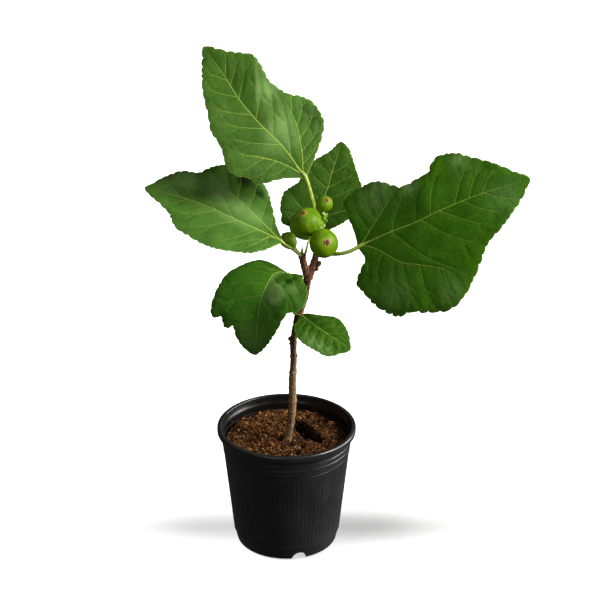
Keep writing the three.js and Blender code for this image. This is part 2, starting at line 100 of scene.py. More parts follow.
BOUGH_RIGHT = {
    "stations": [
        [26.8, 2.4, 352, 4.6], [29.6, 4, 363, 4.6], [33.3, 6, 372, 4.3], [35.6, 8.4, 380, 4],
        [38.2, 11, 388, 3.6],
    ],
    "stub": [[34.6, 5.4, 368.5, 3.4], [38.6, 4, 371, 3], [41, 3.2, 374.4, 2.2]],
    "bump": [[33.6, 4.6, 364.5, 3], [37, 3.4, 364.8, 2.4], [38.6, 2.8, 365.8, 1.6]],
}
SHOOT = {
    "cut_height": 433.5,
    "stations": [
        [38.3, 11.2, 388.6, 3.3], [40.4, 14, 402, 2.9], [43.2, 15.4, 416, 2.7], [45.3, 15.2, 428, 2.4],
        [45.8, 15, 431.6, 1.8],
    ],
    "rings": [
        [395, 0.4, 1.2], [403, 0.5, 1.3], [411, 0.5, 1.2], [417, 0.6, 1.3], [423, 0.5, 1.1],
        [428.5, 0.6, 1.2],
    ],
}
BUD = {
    "stations": [
        [18.9, -0.9, 385.7, 2.2], [18.8, -1.4, 389.4, 1.9], [19.1, -1.9, 393.6, 1.1],
        [19.3, -2.1, 396.6, 0.3],
    ],
    "ridge": 0.12,
}

# Each leaf hangs on its stalk's path [x, y, z, radius]; its blade runs from the ribs' junction to the tip.
# The flat blade has x along the midrib and y to its left. roll turns the blade about the line to its tip,
# arch bends it down (arch_power below 1 does so near the stalk), sway bows it sideways, fold lifts its
# halves off the midrib and curl lets them droop. The margin is [degrees from the midrib, distance from the
# junction]. Each rib, the midrib first, runs through points [x, y], and its forks are [distance along it,
# end x, end y]; faint makes all but the ribs paler. quilt is how far the blade bulges between its veins,
# and swells are soft bulges [x, y, reach, height]. The patches of painted light and tint are [x, y, reach,
# lightness, warmth]: lightness paints light and shade, such as sheens and the shadow one leaf casts on
# another, and warmth makes the green yellower where it is above zero and paints a grey sheen where it is
# below. blotches are brown spots [x, y, reach, strength]. A painted crease is [points, reach, lightness on
# its left, on its right]: painted light and shade that change across a vein, as they would across a fold.
LEAVES = {
    "leaf_top": {
        "stalk": [
            [43.4, 15.4, 417, 2.4], [39.2, 18.4, 425, 2.8], [33.4, 18, 439.4, 2.9], [30, 15.5, 452.2, 3],
            [26.4, 11.5, 467.5, 3],
        ],
        "junction": [21.3, 8, 484.5], "tip": [-98, 98, 611], "roll": 30, "arch": 24, "sway": 6,
        "fold": [9, 9], "curl": [-10, -16],
        "margin": [
            [0, 198], [3, 186], [9, 165], [13, 153], [21, 130], [28, 118], [34, 102], [44, 93], [51, 88],
            [55, 78], [58, 64], [66, 57], [67, 49], [64, 27], [90, 6], [180, 5], [-90, 6], [-66, 30],
            [-62, 57], [-58, 75], [-46, 94], [-38, 99], [-29, 101], [-23, 110], [-19, 124], [-18, 142],
            [-16, 160], [-13, 165], [-7, 176], [-3, 190],
        ],
        "ribs": [
            {"line": [[0, 0], [42, -3], [85, 2], [118, 3], [150, 0], [194, 0]], "width": 1.7, "forks": [
                [45, 94, 48], [72, 114, 42], [94, 134, 38], [122, 157, 30], [146, 176, 17], [27, 104, -38],
                [60, 122, -38], [87, 142, -40], [119, 156, -32], [139, 167, -25], [151, 180, -17]]},
            {"line": [[0, 0], [7, -4], [17, -12], [33, -22], [51, -32], [87, -40]], "width": 1.1, "forks": [
                [14, 24, -40], [30, 42, -57], [46, 60, -65], [62, 78, -60], [78, 92, -50]]},
            {"line": [[0, 0], [20, 8], [41, 22], [58, 39], [67, 52]], "width": 1.1, "forks": [
                [22, 22, 36], [36, 32, 52], [50, 48, 62], [40, 78, 50]]},
        ],
        "quilt": 0.9, "swells": [[95, -34, 34, 3.5], [60, 34, 22, -2], [40, -40, 22, -2]],
        "painted_light_and_tints": [
            [106, -31, 14, 0.5, -0.15], [66, -22, 18, 0.45, -0.1], [42, -12, 18, 0.35, 0],
            [64, -6, 14, 0.35, -0.1], [52, 16, 14, 0.3, 0], [52, -57, 17, -0.55, 0], [70, -52, 9, -0.25, 0],
            [116, 34, 22, 0.25, 0.2], [42, 38, 13, 0.25, 0], [68, 38, 9, -0.35, 0], [152, -8, 20, -0.15, 0],
            [28, -40, 12, -0.2, 0],
        ],
        "painted_creases": [[[[147, -41], [127, -27], [108, -13], [86, 0]], 26, 0.4, -0.1]],
    },
    "leaf_left": {
        "stalk": [
            [19.4, -0.6, 382, 1.9], [14.6, -3, 387.6, 1.9], [7, -6, 395.5, 1.8], [-0.6, -8, 401.4, 1.8],
        ],
        "junction": [-7, -8, 407.6], "tip": [-168, 23, 462], "roll": 22, "arch": 26, "sway": 1,
        "fold": [8, 6], "curl": [-8, -10],
        "margin": [
            [0, 174], [5, 160], [9, 146], [14, 136], [22, 129], [30, 112], [40, 92], [48, 70], [57, 50],
            [66, 26], [95, 6], [180, 4], [-80, 6], [-56, 22], [-58, 50], [-58, 76], [-54, 98], [-46, 117],
            [-36, 125], [-27, 128], [-21, 131], [-15, 149], [-8, 160], [-3, 168],
        ],
        "ribs": [
            {"line": [[0, 0], [56, 2], [105, -1], [171, 0]], "width": 1.5, "forks": [
                [30, 72, 50], [56, 108, 43], [83, 127, 28], [121, 140, 16], [62, 116, -43], [85, 137, -38],
                [112, 147, -28], [130, 155, -16]]},
            {"line": [[0, 0], [19, -8], [47, -19], [78, -34], [106, -51]], "width": 1.1, "forks": [
                [16, 26, -34], [34, 38, -58], [54, 58, -74], [72, 80, -79], [90, 96, -70]]},
            {"line": [[0, 0], [13, 3], [22, 19], [37, 42]], "width": 0.9, "forks": [
                [16, 16, 27], [24, 52, 48]]},
        ],
        "quilt": 0.9, "swells": [[60, -50, 30, 2], [60, 30, 30, 1.2]],
        "painted_light_and_tints": [
            [70, 34, 40, 0.1, 0.15], [66, -58, 15, -1, 0], [94, -38, 18, 0.6, 0], [131, -27, 17, 0.75, 0],
            [44, -49, 9, -0.7, 0], [62, -16, 22, 0.6, -0.2], [34, -10, 13, 0.45, -0.1],
            [148, -12, 22, 0.3, 0], [90, -14, 14, 0.4, -0.1],
        ],
        "painted_creases": [[[[108, -1], [56, 2], [12, 0]], 12, -0.15, 0.25]],
    },
    "leaf_back": {
        "stalk": [
            [20.8, 0.6, 378, 1.6], [24.2, 5, 390, 1.5], [27.2, 12, 398, 1.5], [33.4, 20, 402, 1.5],
            [39.2, 31, 404.4, 1.5], [40, 45, 405.4, 1.5],
        ],
        "junction": [35.2, 58, 407.2], "tip": [66.2, 112, 484.5], "roll": -18, "arch": 12, "sway": -3,
        "fold": [8, 8], "curl": [-5, -5],
        "margin": [
            [0, 99], [7, 84], [15, 76], [25, 69], [36, 58], [45, 50], [56, 50], [68, 51], [80, 48], [92, 44],
            [104, 41], [115, 41], [126, 32], [140, 22], [180, 8], [-124, 20], [-100, 26], [-84, 34],
            [-70, 42], [-58, 51], [-48, 58], [-38, 65], [-29, 69], [-20, 76], [-12, 86], [-6, 95],
        ],
        "ribs": [
            {"line": [[0, 0], [41, 0], [58, 1], [95, 0]], "width": 1.2, "forks": [
                [22, 38, 34], [38, 56, 32], [54, 68, 22], [70, 80, 12], [22, 56, -36], [40, 70, -28],
                [58, 80, -18]]},
            {"line": [[0, 0], [6, 20], [20, 42]], "width": 0.9, "forks": [[14, -4, 38]]},
            {"line": [[0, 0], [11, -18], [26, -42]], "width": 0.9, "forks": [[14, 2, -30], [24, 46, -42]]},
        ],
        "quilt": 0.7, "swells": [[40, 26, 20, 1]], "painted_light_and_tints": [[50, 0, 50, -0.25, 0], [24, -36, 12, -0.2, 0]],
        "blotches": [[34, -40, 3.2, 1], [40, -36, 2.6, 1], [29, -45, 2.4, 1], [20, -40, 2.2, 1]],
    },
    "leaf_right": {
        "stalk": [
            [36.6, 9.6, 383.4, 2.3], [43.6, 3.6, 384.8, 2.4], [53.4, -4, 388, 2.5], [64.3, -10, 391.2, 2.5],
            [76.7, -13, 396.2, 2.5],
        ],
        "junction": [88.8, -12, 402.8], "tip": [285.6, -35, 498.4], "roll": -45, "arch": 16, "sway": 2,
        "fold": [8, 8], "curl": [-16, -10],
        "margin": [
            [0, 220], [4, 205], [11, 184], [17, 168], [23, 157], [27, 146], [29, 135], [28, 125], [26, 117],
            [29, 100], [34, 83], [45, 79], [60, 79], [72, 75], [86, 69], [97, 63], [99, 45], [99, 24],
            [125, 7], [180, 5], [-110, 7], [-86, 20], [-102, 30], [-110, 41], [-110, 49], [-100, 60],
            [-92, 76], [-84, 93], [-77, 107], [-70, 112], [-62, 129], [-54, 149], [-46, 155], [-38, 157],
            [-29, 160], [-22, 165], [-15, 182], [-8, 200], [-3, 213],
        ],
        "ribs": [
            {"line": [[0, 0], [41, -1], [76, -3], [107, -1], [151, 1], [217, -1]], "width": 1.4, "forks": [
                [42, 79, 44], [73, 97, 47], [94, 126, 57], [126, 160, 46], [144, 172, 36], [161, 187, 27],
                [41, 120, -88], [81, 146, -60], [106, 166, -42], [136, 180, -31], [163, 199, -20]]},
            {"line": [[0, 0], [15, 11], [26, 19], [39, 29], [60, 45]], "width": 1.2, "forks": [
                [19, 4, 62], [33, 21, 68], [48, 40, 64]]},
            {"line": [[0, 0], [12, -8], [25, -21], [46, -45], [67, -57], [99, -80], [108, -106]], "width": 1,
             "forks": [
                [14, 1, -44], [33, 6, -66], [52, 31, -94], [64, 52, -106], [88, 71, -117], [113, 92, -118]]},
        ],
        "quilt": 0.55,
        "swells": [[96, 20, 18, 3], [30, 46, 24, -1.5], [40, -84, 22, 1.5], [200, 0, 30, 1.5]],
        "painted_light_and_tints": [
            [80, 40, 10, 0.35, -0.5], [120, 52, 18, 0.05, 0.8], [60, 62, 20, 0.25, -0.2],
            [186, -12, 30, 0.36, -0.15], [150, 46, 20, 0.32, -0.1], [26, -74, 28, 0.34, -0.1],
            [127, -76, 24, 0.05, 0.6], [62, -100, 14, -0.05, 0.4], [96, -100, 22, 0.34, -0.1],
            [142, 52, 8, 0.35, -0.2], [30, 50, 28, 0.38, -0.2], [97, -16, 18, 0, 0.4],
        ],
    },
    "leaf_lower_left": {
        "stalk": [[21.2, 1.8, 328, 1.6], [17.4, -5, 338, 1.6], [11.6, -14, 352, 1.5], [6.4, -21, 365, 1.5]],
        "junction": [3.2, -25, 372.4], "tip": [-37, -92, 296], "roll": -7, "arch": 120, "arch_power": 0.6,
        "sway": -4, "fold": [7, 18], "curl": [-10, -6],
        "margin": [
            [0, 124], [7, 116], [14, 106], [21, 95], [28, 84], [34, 79], [41, 82], [47, 80], [55, 69],
            [60, 55], [61, 44], [70, 33], [85, 21], [110, 10], [180, 6], [-118, 12], [-112, 24], [-100, 37],
            [-86, 41], [-72, 46], [-61, 57], [-55, 68], [-47, 79], [-41, 89], [-34, 103], [-30, 103],
            [-27, 97], [-21, 104], [-19, 103], [-16, 98], [-12, 107], [-8, 115],
        ],
        "ribs": [
            {"line": [[0, 0], [9, -6], [18, -7], [37, -3], [58, 0], [86, 5], [118, 4]], "width": 1.6,
             "forks": [
                [26, 62, 51], [59, 77, 31], [77, 97, 21], [96, 108, 12], [22, 34, -54], [38, 62, -60],
                [54, 82, -50], [76, 99, -24], [92, 108, -12]]},
            {"line": [[0, 0], [10, 11], [23, 25], [46, 52]], "width": 1, "forks": [
                [22, 14, 34], [36, 28, 48]]},
            {"line": [[0, 0], [12, -16], [10, -38]], "width": 0.9, "forks": [[12, -4, -30]]},
        ],
        "quilt": 0.7, "faint": 0.55, "swells": [[42, 24, 13, 2.5], [14, 30, 9, 2], [26, 19, 5, -3]],
        "painted_light_and_tints": [
            [39, 14, 9, 0.95, 0], [52, 21, 10, 0.9, 0], [36, 36, 9, 0.45, 0], [24, 17, 4, -0.8, 0],
            [30, 23, 3.5, -0.6, 0], [12, 34, 6, -0.4, 0], [52, -30, 22, -0.1, 0.1], [104, 0, 24, 0.4, 0.3],
            [50, 52, 12, 0.3, 0], [20, -22, 9, -0.2, 0],
        ],
        "blotches": [[60, 37, 0.9, 1], [56, 41, 0.7, 1]],
        "painted_creases": [[[[8, -6], [18, -7], [37, -3], [58, 0], [86, 5]], 10, 0.5, -0.2]],
    },
    "leaf_lower_right": {
        "stalk": [
            [14.6, 0.8, 306, 1.3], [9.6, -3.6, 309.4, 1.2], [8.6, -7, 311.2, 1.2], [13, -11.2, 311.4, 1.2],
        ],
        "junction": [20, -14, 310.2], "tip": [77, -45, 281], "roll": -8, "arch": 16, "sway": -3,
        "fold": [8, 8], "curl": [-10, -10],
        "margin": [
            [0, 71], [10, 64], [20, 59], [31, 54], [41, 48], [48, 41], [51, 30], [56, 19], [90, 7], [180, 3],
            [-95, 10], [-84, 24], [-72, 32], [-63, 38], [-53, 44], [-43, 50], [-37, 56], [-32, 63], [-24, 67],
            [-15, 68], [-7, 71],
        ],
        "ribs": [
            {"line": [[0, 0], [31, 0], [69, 0]], "width": 1, "forks": [
                [7, 24, 25], [17, 37, 28], [28, 47, 24], [38, 55, 17], [48, 62, 9], [3, 5, -22], [9, 14, -31],
                [17, 26, -34], [26, 40, -35], [36, 52, -31], [46, 60, -22], [56, 66, -12]]},
        ],
        "quilt": 0.95, "faint": 0.45,
        "painted_light_and_tints": [[34, 10, 24, -0.1, 0.3], [30, -26, 14, 0.42, 0.1], [50, -24, 12, 0.36, 0.1]],
    },
}
BLADE_THICKNESS = 0.5

# A fig is turned round the line from its middle to its eye, and foot is where its short stalk starts. lift is
# how much lighter its green is, a painted light that brightens figs lying in the shade of other parts, and
# spots are yellow marks [x, y, z] on its skin, in its own axes.
FIGS = {
    "fig_front": {
        "centre": [25.1, 4, 426], "eye": [-0.27, -0.39, 0.88], "radius": 17.7, "length": 36,
        "foot": [41, 14.4, 405], "eye_size": 3.7, "spots": [[-4.6, -9.5, 13.6], [4, -16, 3]],
    },
    "fig_rear": {
        "centre": [19.5, 37.4, 406.6], "eye": [-0.64, 0.38, 0.66], "radius": 16.4, "length": 36,
        "foot": [39.8, 13.4, 398], "eye_size": 3, "lift": 0.45,
    },
    "fig_low": {
        "centre": [44.6, -19.5, 408.8], "eye": [0.24, -0.84, 0.48], "radius": 17.4, "length": 36,
        "foot": [38, 10.8, 387], "eye_size": 4.2,
    },
    "fig_top": {
        "centre": [45.6, 22, 442], "eye": [0.27, -0.62, 0.74], "radius": 10, "length": 21,
        "foot": [45.3, 15.2, 428], "eye_size": 3.1,
    },
    "fig_left": {
        "centre": [2.2, 11.4, 399.3], "eye": [-0.64, 0.3, 0.71], "radius": 10.2, "length": 23,
        "foot": [19.8, -0.4, 381], "eye_size": 2.4, "lift": 0.45,
    },
}
FIG_STALK_RADIUS = 1.9
FIG_RIBS = 13

# ---------------------------------------------------------------- curves, noise and meshes


def unit(vectors):
    return vectors / np.maximum(np.linalg.norm(vectors, axis=-1, keepdims=True), 1e-9)


def circle(angle):
    """Points [x, y] of the unit circle."""
    return np.stack([np.cos(angle), np.sin(angle)], axis=-1)


def turns(count):
    """Evenly spaced angles round a circle."""
    return np.linspace(0, 2 * math.pi, count, endpoint=False)


def lifted(flat, height):
    """Points [x, y] as [x, y, height]."""
    return np.column_stack([flat, np.broadcast_to(height, len(flat))])


def spline(points, count, closed=False):
    """A centripetal Catmull-Rom curve through points, as count points shared evenly over its spans."""
    points = np.asarray(points, float)
    if closed:
        padded = np.concatenate([points[-1:], points, points[:2]])
    else:
        padded = np.vstack([2 * points[0] - points[1], points, 2 * points[-1] - points[-2]])
    spans = len(padded) - 3
    place = np.linspace(0, 1, count) * spans
    index = np.minimum(place.astype(int), spans - 1)
    w = (place - index)[:, None]
    p0, p1, p2, p3 = (padded[index + i] for i in range(4))
    d0, d1, d2 = (
        np.maximum(np.linalg.norm(b - a, axis=1, keepdims=True) ** 0.5, 1e-4)
        for a, b in ((p0, p1), (p1, p2), (p2, p3))
    )
    t1 = ((p1 - p0) / d0 - (p2 - p0) / (d0 + d1) + (p2 - p1) / d1) * d1
    t2 = ((p2 - p1) / d1 - (p3 - p1) / (d1 + d2) + (p3 - p2) / d2) * d1
    return p1 + t1 * w + (3 * (p2 - p1) - 2 * t1 - t2) * w**2 + (2 * (p1 - p2) + t1 + t2) * w**3


def run_length(points):
    """The distance travelled at each point of a polyline."""
    steps = np.linalg.norm(np.diff(points, axis=0), axis=1)
    return np.concatenate([[0], np.cumsum(steps)])


def resampled(points, spacing):
    """The polyline's points again, evenly spaced."""
    travelled = run_length(points)
    count = max(int(round(travelled[-1] / spacing)), 2)
    even = np.linspace(0, travelled[-1], count + 1)
    return np.stack([np.interp(even, travelled, column) for column in points.T], axis=1)


def noise(points, seed):
    """Smooth noise from -1 to 1 whose features are one unit across."""
    cell = np.floor(points).astype(np.int64)
    part = points - cell
    blend = part * part * (3 - 2 * part)
    total = np.zeros(len(points))
    for corner in itertools.product((0, 1), repeat=3):
        x, y, z = (cell + corner).T
        code = x * 73856093 ^ y * 19349663 ^ z * 83492791 ^ seed * 40503
        code = (code ^ code >> 13) * 1274126177 & 0x7FFFFFFF
        value = (code >> 8 & 0xFFFF) / 32767.5 - 1
        total += value * np.prod(np.where(corner, blend, 1 - blend), axis=1)
    return total


def layered_noise(points, seed, layers=3):
    return sum(noise(points * 2**i, seed + i) / 2**i for i in range(layers))


def bell_sum(points, spots, column):
    """The sum of soft round bells [x, y, reach, ...], each as high as the given column says."""
    x, y = points[:, 0], points[:, 1]
    total = np.zeros(len(points))
    for spot in spots:
        total += spot[column] * np.exp(-((x - spot[0]) ** 2 + (y - spot[1]) ** 2) / spot[2] ** 2)
    return total


def grid_faces(rows, columns):
    """Quads between the rings of a grid of points, one ring to a row."""
    row, column = np.meshgrid(np.arange(rows - 1), np.arange(columns), indexing="ij")
    here, beside = row * columns + column, row * columns + (column + 1) % columns
    return np.stack([here, beside, beside + columns, here + columns], axis=-1).reshape(-1, 4).tolist()


def end_fans(count, around):
    """Triangles that close the first and last ring of a grid of count points, to the two points after it."""
    fans = [[count, (i + 1) % around, i] for i in range(around)]
    end = count - around
    return fans + [[count + 1, end + i, end + (i + 1) % around] for i in range(around)]


def spin(angle):
    """Rows of points times this are turned round Z."""
    cosine, sine = math.cos(angle), math.sin(angle)
    return np.array([[cosine, sine, 0], [-sine, cosine, 0], [0, 0, 1]])


class Shape:
    """Points and faces that become one mesh, with a material number per face and named values per point."""

    def __init__(self):
        self.points, self.faces, self.slots, self.values, self.count = [], [], [], {}, 0

    def add(self, points, faces, slot=0, **values):
        points = np.asarray(points, float)
        self.faces += [[corner + self.count for corner in face] for face in faces]
        self.slots += [slot] * len(faces)
        for name, value in values.items():
            value = np.asarray(value, float)
            spread = np.broadcast_to(value, (len(points),) + value.shape[1:])
            self.values.setdefault(name, []).append((self.count, spread))
        self.points.append(points)
        self.count += len(points)

    def build(self, name, materials=()):
        mesh = bpy.data.meshes.new(name)
        mesh.from_pydata((np.concatenate(self.points) * MM).tolist(), [], self.faces)
        for material in materials:
            mesh.materials.append(material)
        mesh.polygons.foreach_set("material_index", self.slots)
        mesh.polygons.foreach_set("use_smooth", [True] * len(self.faces))
        for title, held in self.values.items():
            size = held[0][1].shape[1:]
            whole = np.zeros((self.count,) + size)
            for start, value in held:
                whole[start:start + len(value)] = value
            kind, field = ("FLOAT_VECTOR", "vector") if size else ("FLOAT", "value")
            attribute = mesh.attributes.new(title, kind, "POINT")
            attribute.data.foreach_set(field, whole.astype(np.float32).ravel())
        mesh.update()
        piece = bpy.data.objects.new(name, mesh)
        bpy.context.scene.collection.objects.link(piece)
        return piece


def single(name, points, faces, *materials, **values):
    """A mesh object of one body."""
    shape = Shape()
    shape.add(points, faces, **values)
    return shape.build(name, materials)


def tube(stations, around, along, ridge=0):
    """A closed limb through stations [x, y, z, radius]: points, faces and each point's share along it."""
    track = spline(stations, along + 1)
    path, radius = track[:, :3], track[:, 3]
    tangent = unit(np.gradient(path, axis=0))
    level = abs(unit(path[-1] - path[0])[2]) < 0.8
    reference = np.array([0.0, 0, 1] if level else [1.0, 0, 0])
    side = unit(reference - (tangent @ reference)[:, None] * tangent)
    front = np.cross(tangent, side)
    angle = turns(around)
    reach = radius[:, None] + ridge * np.cos(3 * angle)
    ring = np.cos(angle)[:, None] * side[:, None] + np.sin(angle)[:, None] * front[:, None]
    points = (path[:, None] + reach[..., None] * ring).reshape(-1, 3)
    faces = grid_faces(along + 1, around) + end_fans(len(points), around)
    share = np.concatenate([np.repeat(np.linspace(0, 1, along + 1), around), [0, 1]])
    return np.vstack([points, path[0], path[-1]]), faces, share


def turned(profile, around):
    """A closed body turned round Z from [radius, height] points whose ends are on the axis."""
    profile = np.asarray(profile, float)
    inner = profile[1:-1]
    flat = (inner[:, None, :1] * circle(turns(around))).reshape(-1, 2)
    points = lifted(flat, np.repeat(inner[:, 1], around))
    faces = grid_faces(len(inner), around) + end_fans(len(points), around)
    return np.vstack([points, [0, 0, profile[0, 1]], [0, 0, profile[-1, 1]]]), faces


def basis(direction):
    """Three axes as rows, the last along direction."""
    up = unit(np.asarray(direction, float))
    helper = np.array([0.0, 1, 0]) if abs(up[1]) < 0.9 else np.array([1.0, 0, 0])
    side = unit(np.cross(helper, up))
    return np.stack([side, np.cross(up, side), up])


def solid_shape(piece):
    """The points and faces of an object with its modifiers applied; the object is removed."""
    bpy.context.view_layer.update()
    evaluated = piece.evaluated_get(bpy.context.evaluated_depsgraph_get())
    mesh = bpy.data.meshes.new_from_object(evaluated)
    points = np.zeros(len(mesh.vertices) * 3)
    mesh.vertices.foreach_get("co", points)
    faces = [list(polygon.vertices) for polygon in mesh.polygons]
    bpy.data.meshes.remove(mesh)
    bpy.data.objects.remove(piece)
    return points.reshape(-1, 3) / MM, faces


# ---------------------------------------------------------------- materials


def srgb(red, green, blue):
    """A colour from its 0 to 255 screen values."""
    def linear(value):
        value = value / 255
        return value / 12.92 if value <= 0.04045 else ((value + 0.055) / 1.055) ** 2.4
    return linear(red), linear(green), linear(blue), 1


class Finish:
    """A procedural material under construction: a node tree with its shader."""

    def __init__(self, name, **shader):
        self.material = bpy.data.materials.new(name)
        self.material.use_nodes = True
        self.tree = self.material.node_tree
        self.shader = self.tree.nodes["Principled BSDF"]
        for socket, value in shader.items():
            self.join(value, socket.replace("_", " "))

    def join(self, value, socket):
        """Gives one of the shader's sockets a value or the output of a node."""
        if isinstance(value, bpy.types.NodeSocket):
            self.tree.links.new(value, self.shader.inputs[socket])
        else:
            self.shader.inputs[socket].default_value = value

    def node(self, kind, inputs=None, output=0, **settings):
        made = self.tree.nodes.new("ShaderNode" + kind)
        for name, value in settings.items():
            setattr(made, name, value)
        for name, value in (inputs or {}).items():
            if isinstance(value, bpy.types.NodeSocket):
                self.tree.links.new(value, made.inputs[name])
            else:
                made.inputs[name].default_value = value
        return made.outputs[output]

    def value(self, name):
        """A named value of the mesh."""
        return self.node("Attribute", attribute_name=name, output="Fac")

    def place(self, name=None, scale=(1, 1, 1)):
        """Where a point is: on the object, in metres, or as a named vector of the mesh."""
        if name:
            source = self.node("Attribute", attribute_name=name, output="Vector")
        else:
            source = self.node("TexCoord", output="Object")
        return self.node("Mapping", {"Vector": source, "Scale": scale})

    def noise(self, place, scale, detail=3, roughness=0.55):
        inputs = {"Vector": place, "Scale": scale, "Detail": detail, "Roughness": roughness}
        return self.node("TexNoise", inputs)

    def cells(self, place, scale, feature="F1"):
        return self.node("TexVoronoi", {"Vector": place, "Scale": scale}, "Distance", feature=feature)

    def fit(self, value, low, high, to_low=0, to_high=1):
        """value from low..high spread over to_low..to_high."""
        inputs = {0: value, 1: low, 2: high, 3: to_low, 4: to_high}
        return self.node("MapRange", inputs, interpolation_type="SMOOTHSTEP")

    def maths(self, operation, first, second=0):
        return self.node("Math", {0: first, 1: second}, operation=operation)

    def add(self, first, *others):
        """The sum of values, where (value, share) stands for a share of a value."""
        for other in others:
            other = self.maths("MULTIPLY", *other) if isinstance(other, tuple) else other
            first = self.maths("ADD", first, other)
        return first

    def layers(self, colour, *layers):
        """Colours over one another, each as (colour, share) or (colour, value, ...) with what fit takes."""
        for over, *share in layers:
            share = self.fit(*share) if len(share) > 1 else share[0]
            colour = self.node("Mix", {0: share, 6: colour, 7: over}, 2, data_type="RGBA")
        return colour

    def ramp(self, factor, stops):
        made = self.tree.nodes.new("ShaderNodeValToRGB")
        elements = made.color_ramp.elements
        while len(elements) < len(stops):
            elements.new(0.5)
        for element, (position, colour) in zip(elements, stops):
            element.position = position
            element.color = colour
        self.tree.links.new(factor, made.inputs[0])
        return made.outputs[0]

    def finish(self, colour, roughness, height, bump, depth):
        """The material with this colour, roughness and bump height, whose depth is in millimetres."""
        self.join(colour, "Base Color")
        self.join(roughness, "Roughness")
        self.join(self.node("Bump", {"Strength": bump, "Distance": depth * MM, "Height": height}), "Normal")
        return self.material


VEIN, UNDERSIDE, BLOTCH = srgb(168, 184, 72), srgb(91, 114, 64), srgb(43, 28, 17)
# The blades' painted light and painted shade are GREEN_LIT and GREEN_SHADE; their cool grey green is a
# painted sheen.
GREEN_DEEP, GREEN_SHADE, GREEN_LIT = srgb(16, 36, 2), srgb(5, 16, 1), srgb(118, 152, 82)
GREEN_WARM, GREEN_SHEEN = srgb(66, 110, 0), srgb(104, 124, 88)


def leaf_finish(name, dark, light):
    """Blade: mottled green with a faint net of veins and pale ribs, painted light, shade and grey sheens on
    its upper side, and a paler, duller underside.
    """
    finish = Finish(name, Specular_IOR_Level=0.05)
    flat = finish.place("flat")
    patches = finish.noise(flat, 0.035, 4)
    mottle = finish.noise(flat, 0.5, 4, 0.65)
    grain = finish.noise(flat, 1.5, 3, 0.6)
    net = finish.cells(flat, 0.2, "DISTANCE_TO_EDGE")
    small_net = finish.cells(flat, 0.62, "DISTANCE_TO_EDGE")
    warmth, painted_light, rib = finish.value("warmth"), finish.value("light"), finish.value("rib")
    spots = finish.maths("MULTIPLY", finish.value("blotch"), finish.fit(mottle, 0.35, 0.55))
    # Over the blade's own greens go painted light and shade where the value light says, a warm green where
    # warmth is above zero and a painted grey sheen where it is below.
    upper = finish.layers(
        dark, (light, patches, 0.3, 0.7), (light, mottle, 0.35, 0.75, 0, 0.5),
        (GREEN_DEEP, mottle, 0.5, 0.25, 0, 0.4), (VEIN, net, 0, 0.06, 0.06, 0),
        (VEIN, small_net, 0, 0.07, 0.04, 0),
        (GREEN_WARM, warmth, 0, 1, 0, 0.8), (GREEN_SHEEN, warmth, -1, 0, 0.8, 0),
        (GREEN_LIT, painted_light, 0, 1, 0, 0.9), (GREEN_SHADE, painted_light, -1, 0, 0.9, 0),
        (GREEN_DEEP, grain, 0.4, 0.25, 0, 0.35), (BLOTCH, spots), (VEIN, rib, 0, 0.6, 0, 0.95),
    )
    below = finish.layers(
        UNDERSIDE, (light, patches, 0.3, 0.7, 0, 0.4), (VEIN, net, 0, 0.09, 0.4, 0), (VEIN, rib, 0.05, 0.6),
    )
    colour = finish.layers(below, (upper, finish.value("side")))
    fine = finish.fit(small_net, 0, 0.15, 0, 0.45)
    height = finish.add(finish.fit(net, 0, 0.14), (mottle, 0.9), fine, (grain, 0.4))
    return finish.finish(colour, finish.fit(mottle, 0.2, 0.8, 0.42, 0.6), height, 0.6, 0.22)


def stalk_finish():
    """Leaf and fig stalks: yellow green with fine pale streaks and a brown blush where the value says so."""
    finish = Finish("stalk", Specular_IOR_Level=0.45)
    streaks = finish.noise(finish.place(scale=(1, 1, 0.25)), 900)
    patches = finish.noise(finish.place(), 120)
    colour = finish.layers(
        srgb(118, 144, 32), (srgb(166, 188, 74), patches, 0.3, 0.7),
        (srgb(212, 220, 140), streaks, 0.45, 0.75, 0, 0.5), (srgb(119, 62, 33), finish.value("blush")),
    )
    return finish.finish(colour, finish.fit(patches, 0.2, 0.8, 0.4, 0.55), streaks, 0.4, 0.15)


def green_wood_finish():
    """The soft shoot and bud: pale green with yellowish scars and fine brown lenticels."""
    finish = Finish("green_wood", Specular_IOR_Level=0.4)
    patches = finish.noise(finish.place(), 220, 4)
    dots = finish.cells(finish.place(), 900)
    colour = finish.layers(
        srgb(85, 119, 20), (srgb(140, 166, 49), patches, 0.3, 0.7),
        (srgb(195, 206, 125), finish.value("scar")), (srgb(125, 96, 43), dots, 0.05, 0.2, 0.5, 0),
        (srgb(96, 59, 30), finish.value("blush")),
    )
    return finish.finish(colour, finish.fit(patches, 0.2, 0.8, 0.45, 0.6), patches, 0.5, 0.4)


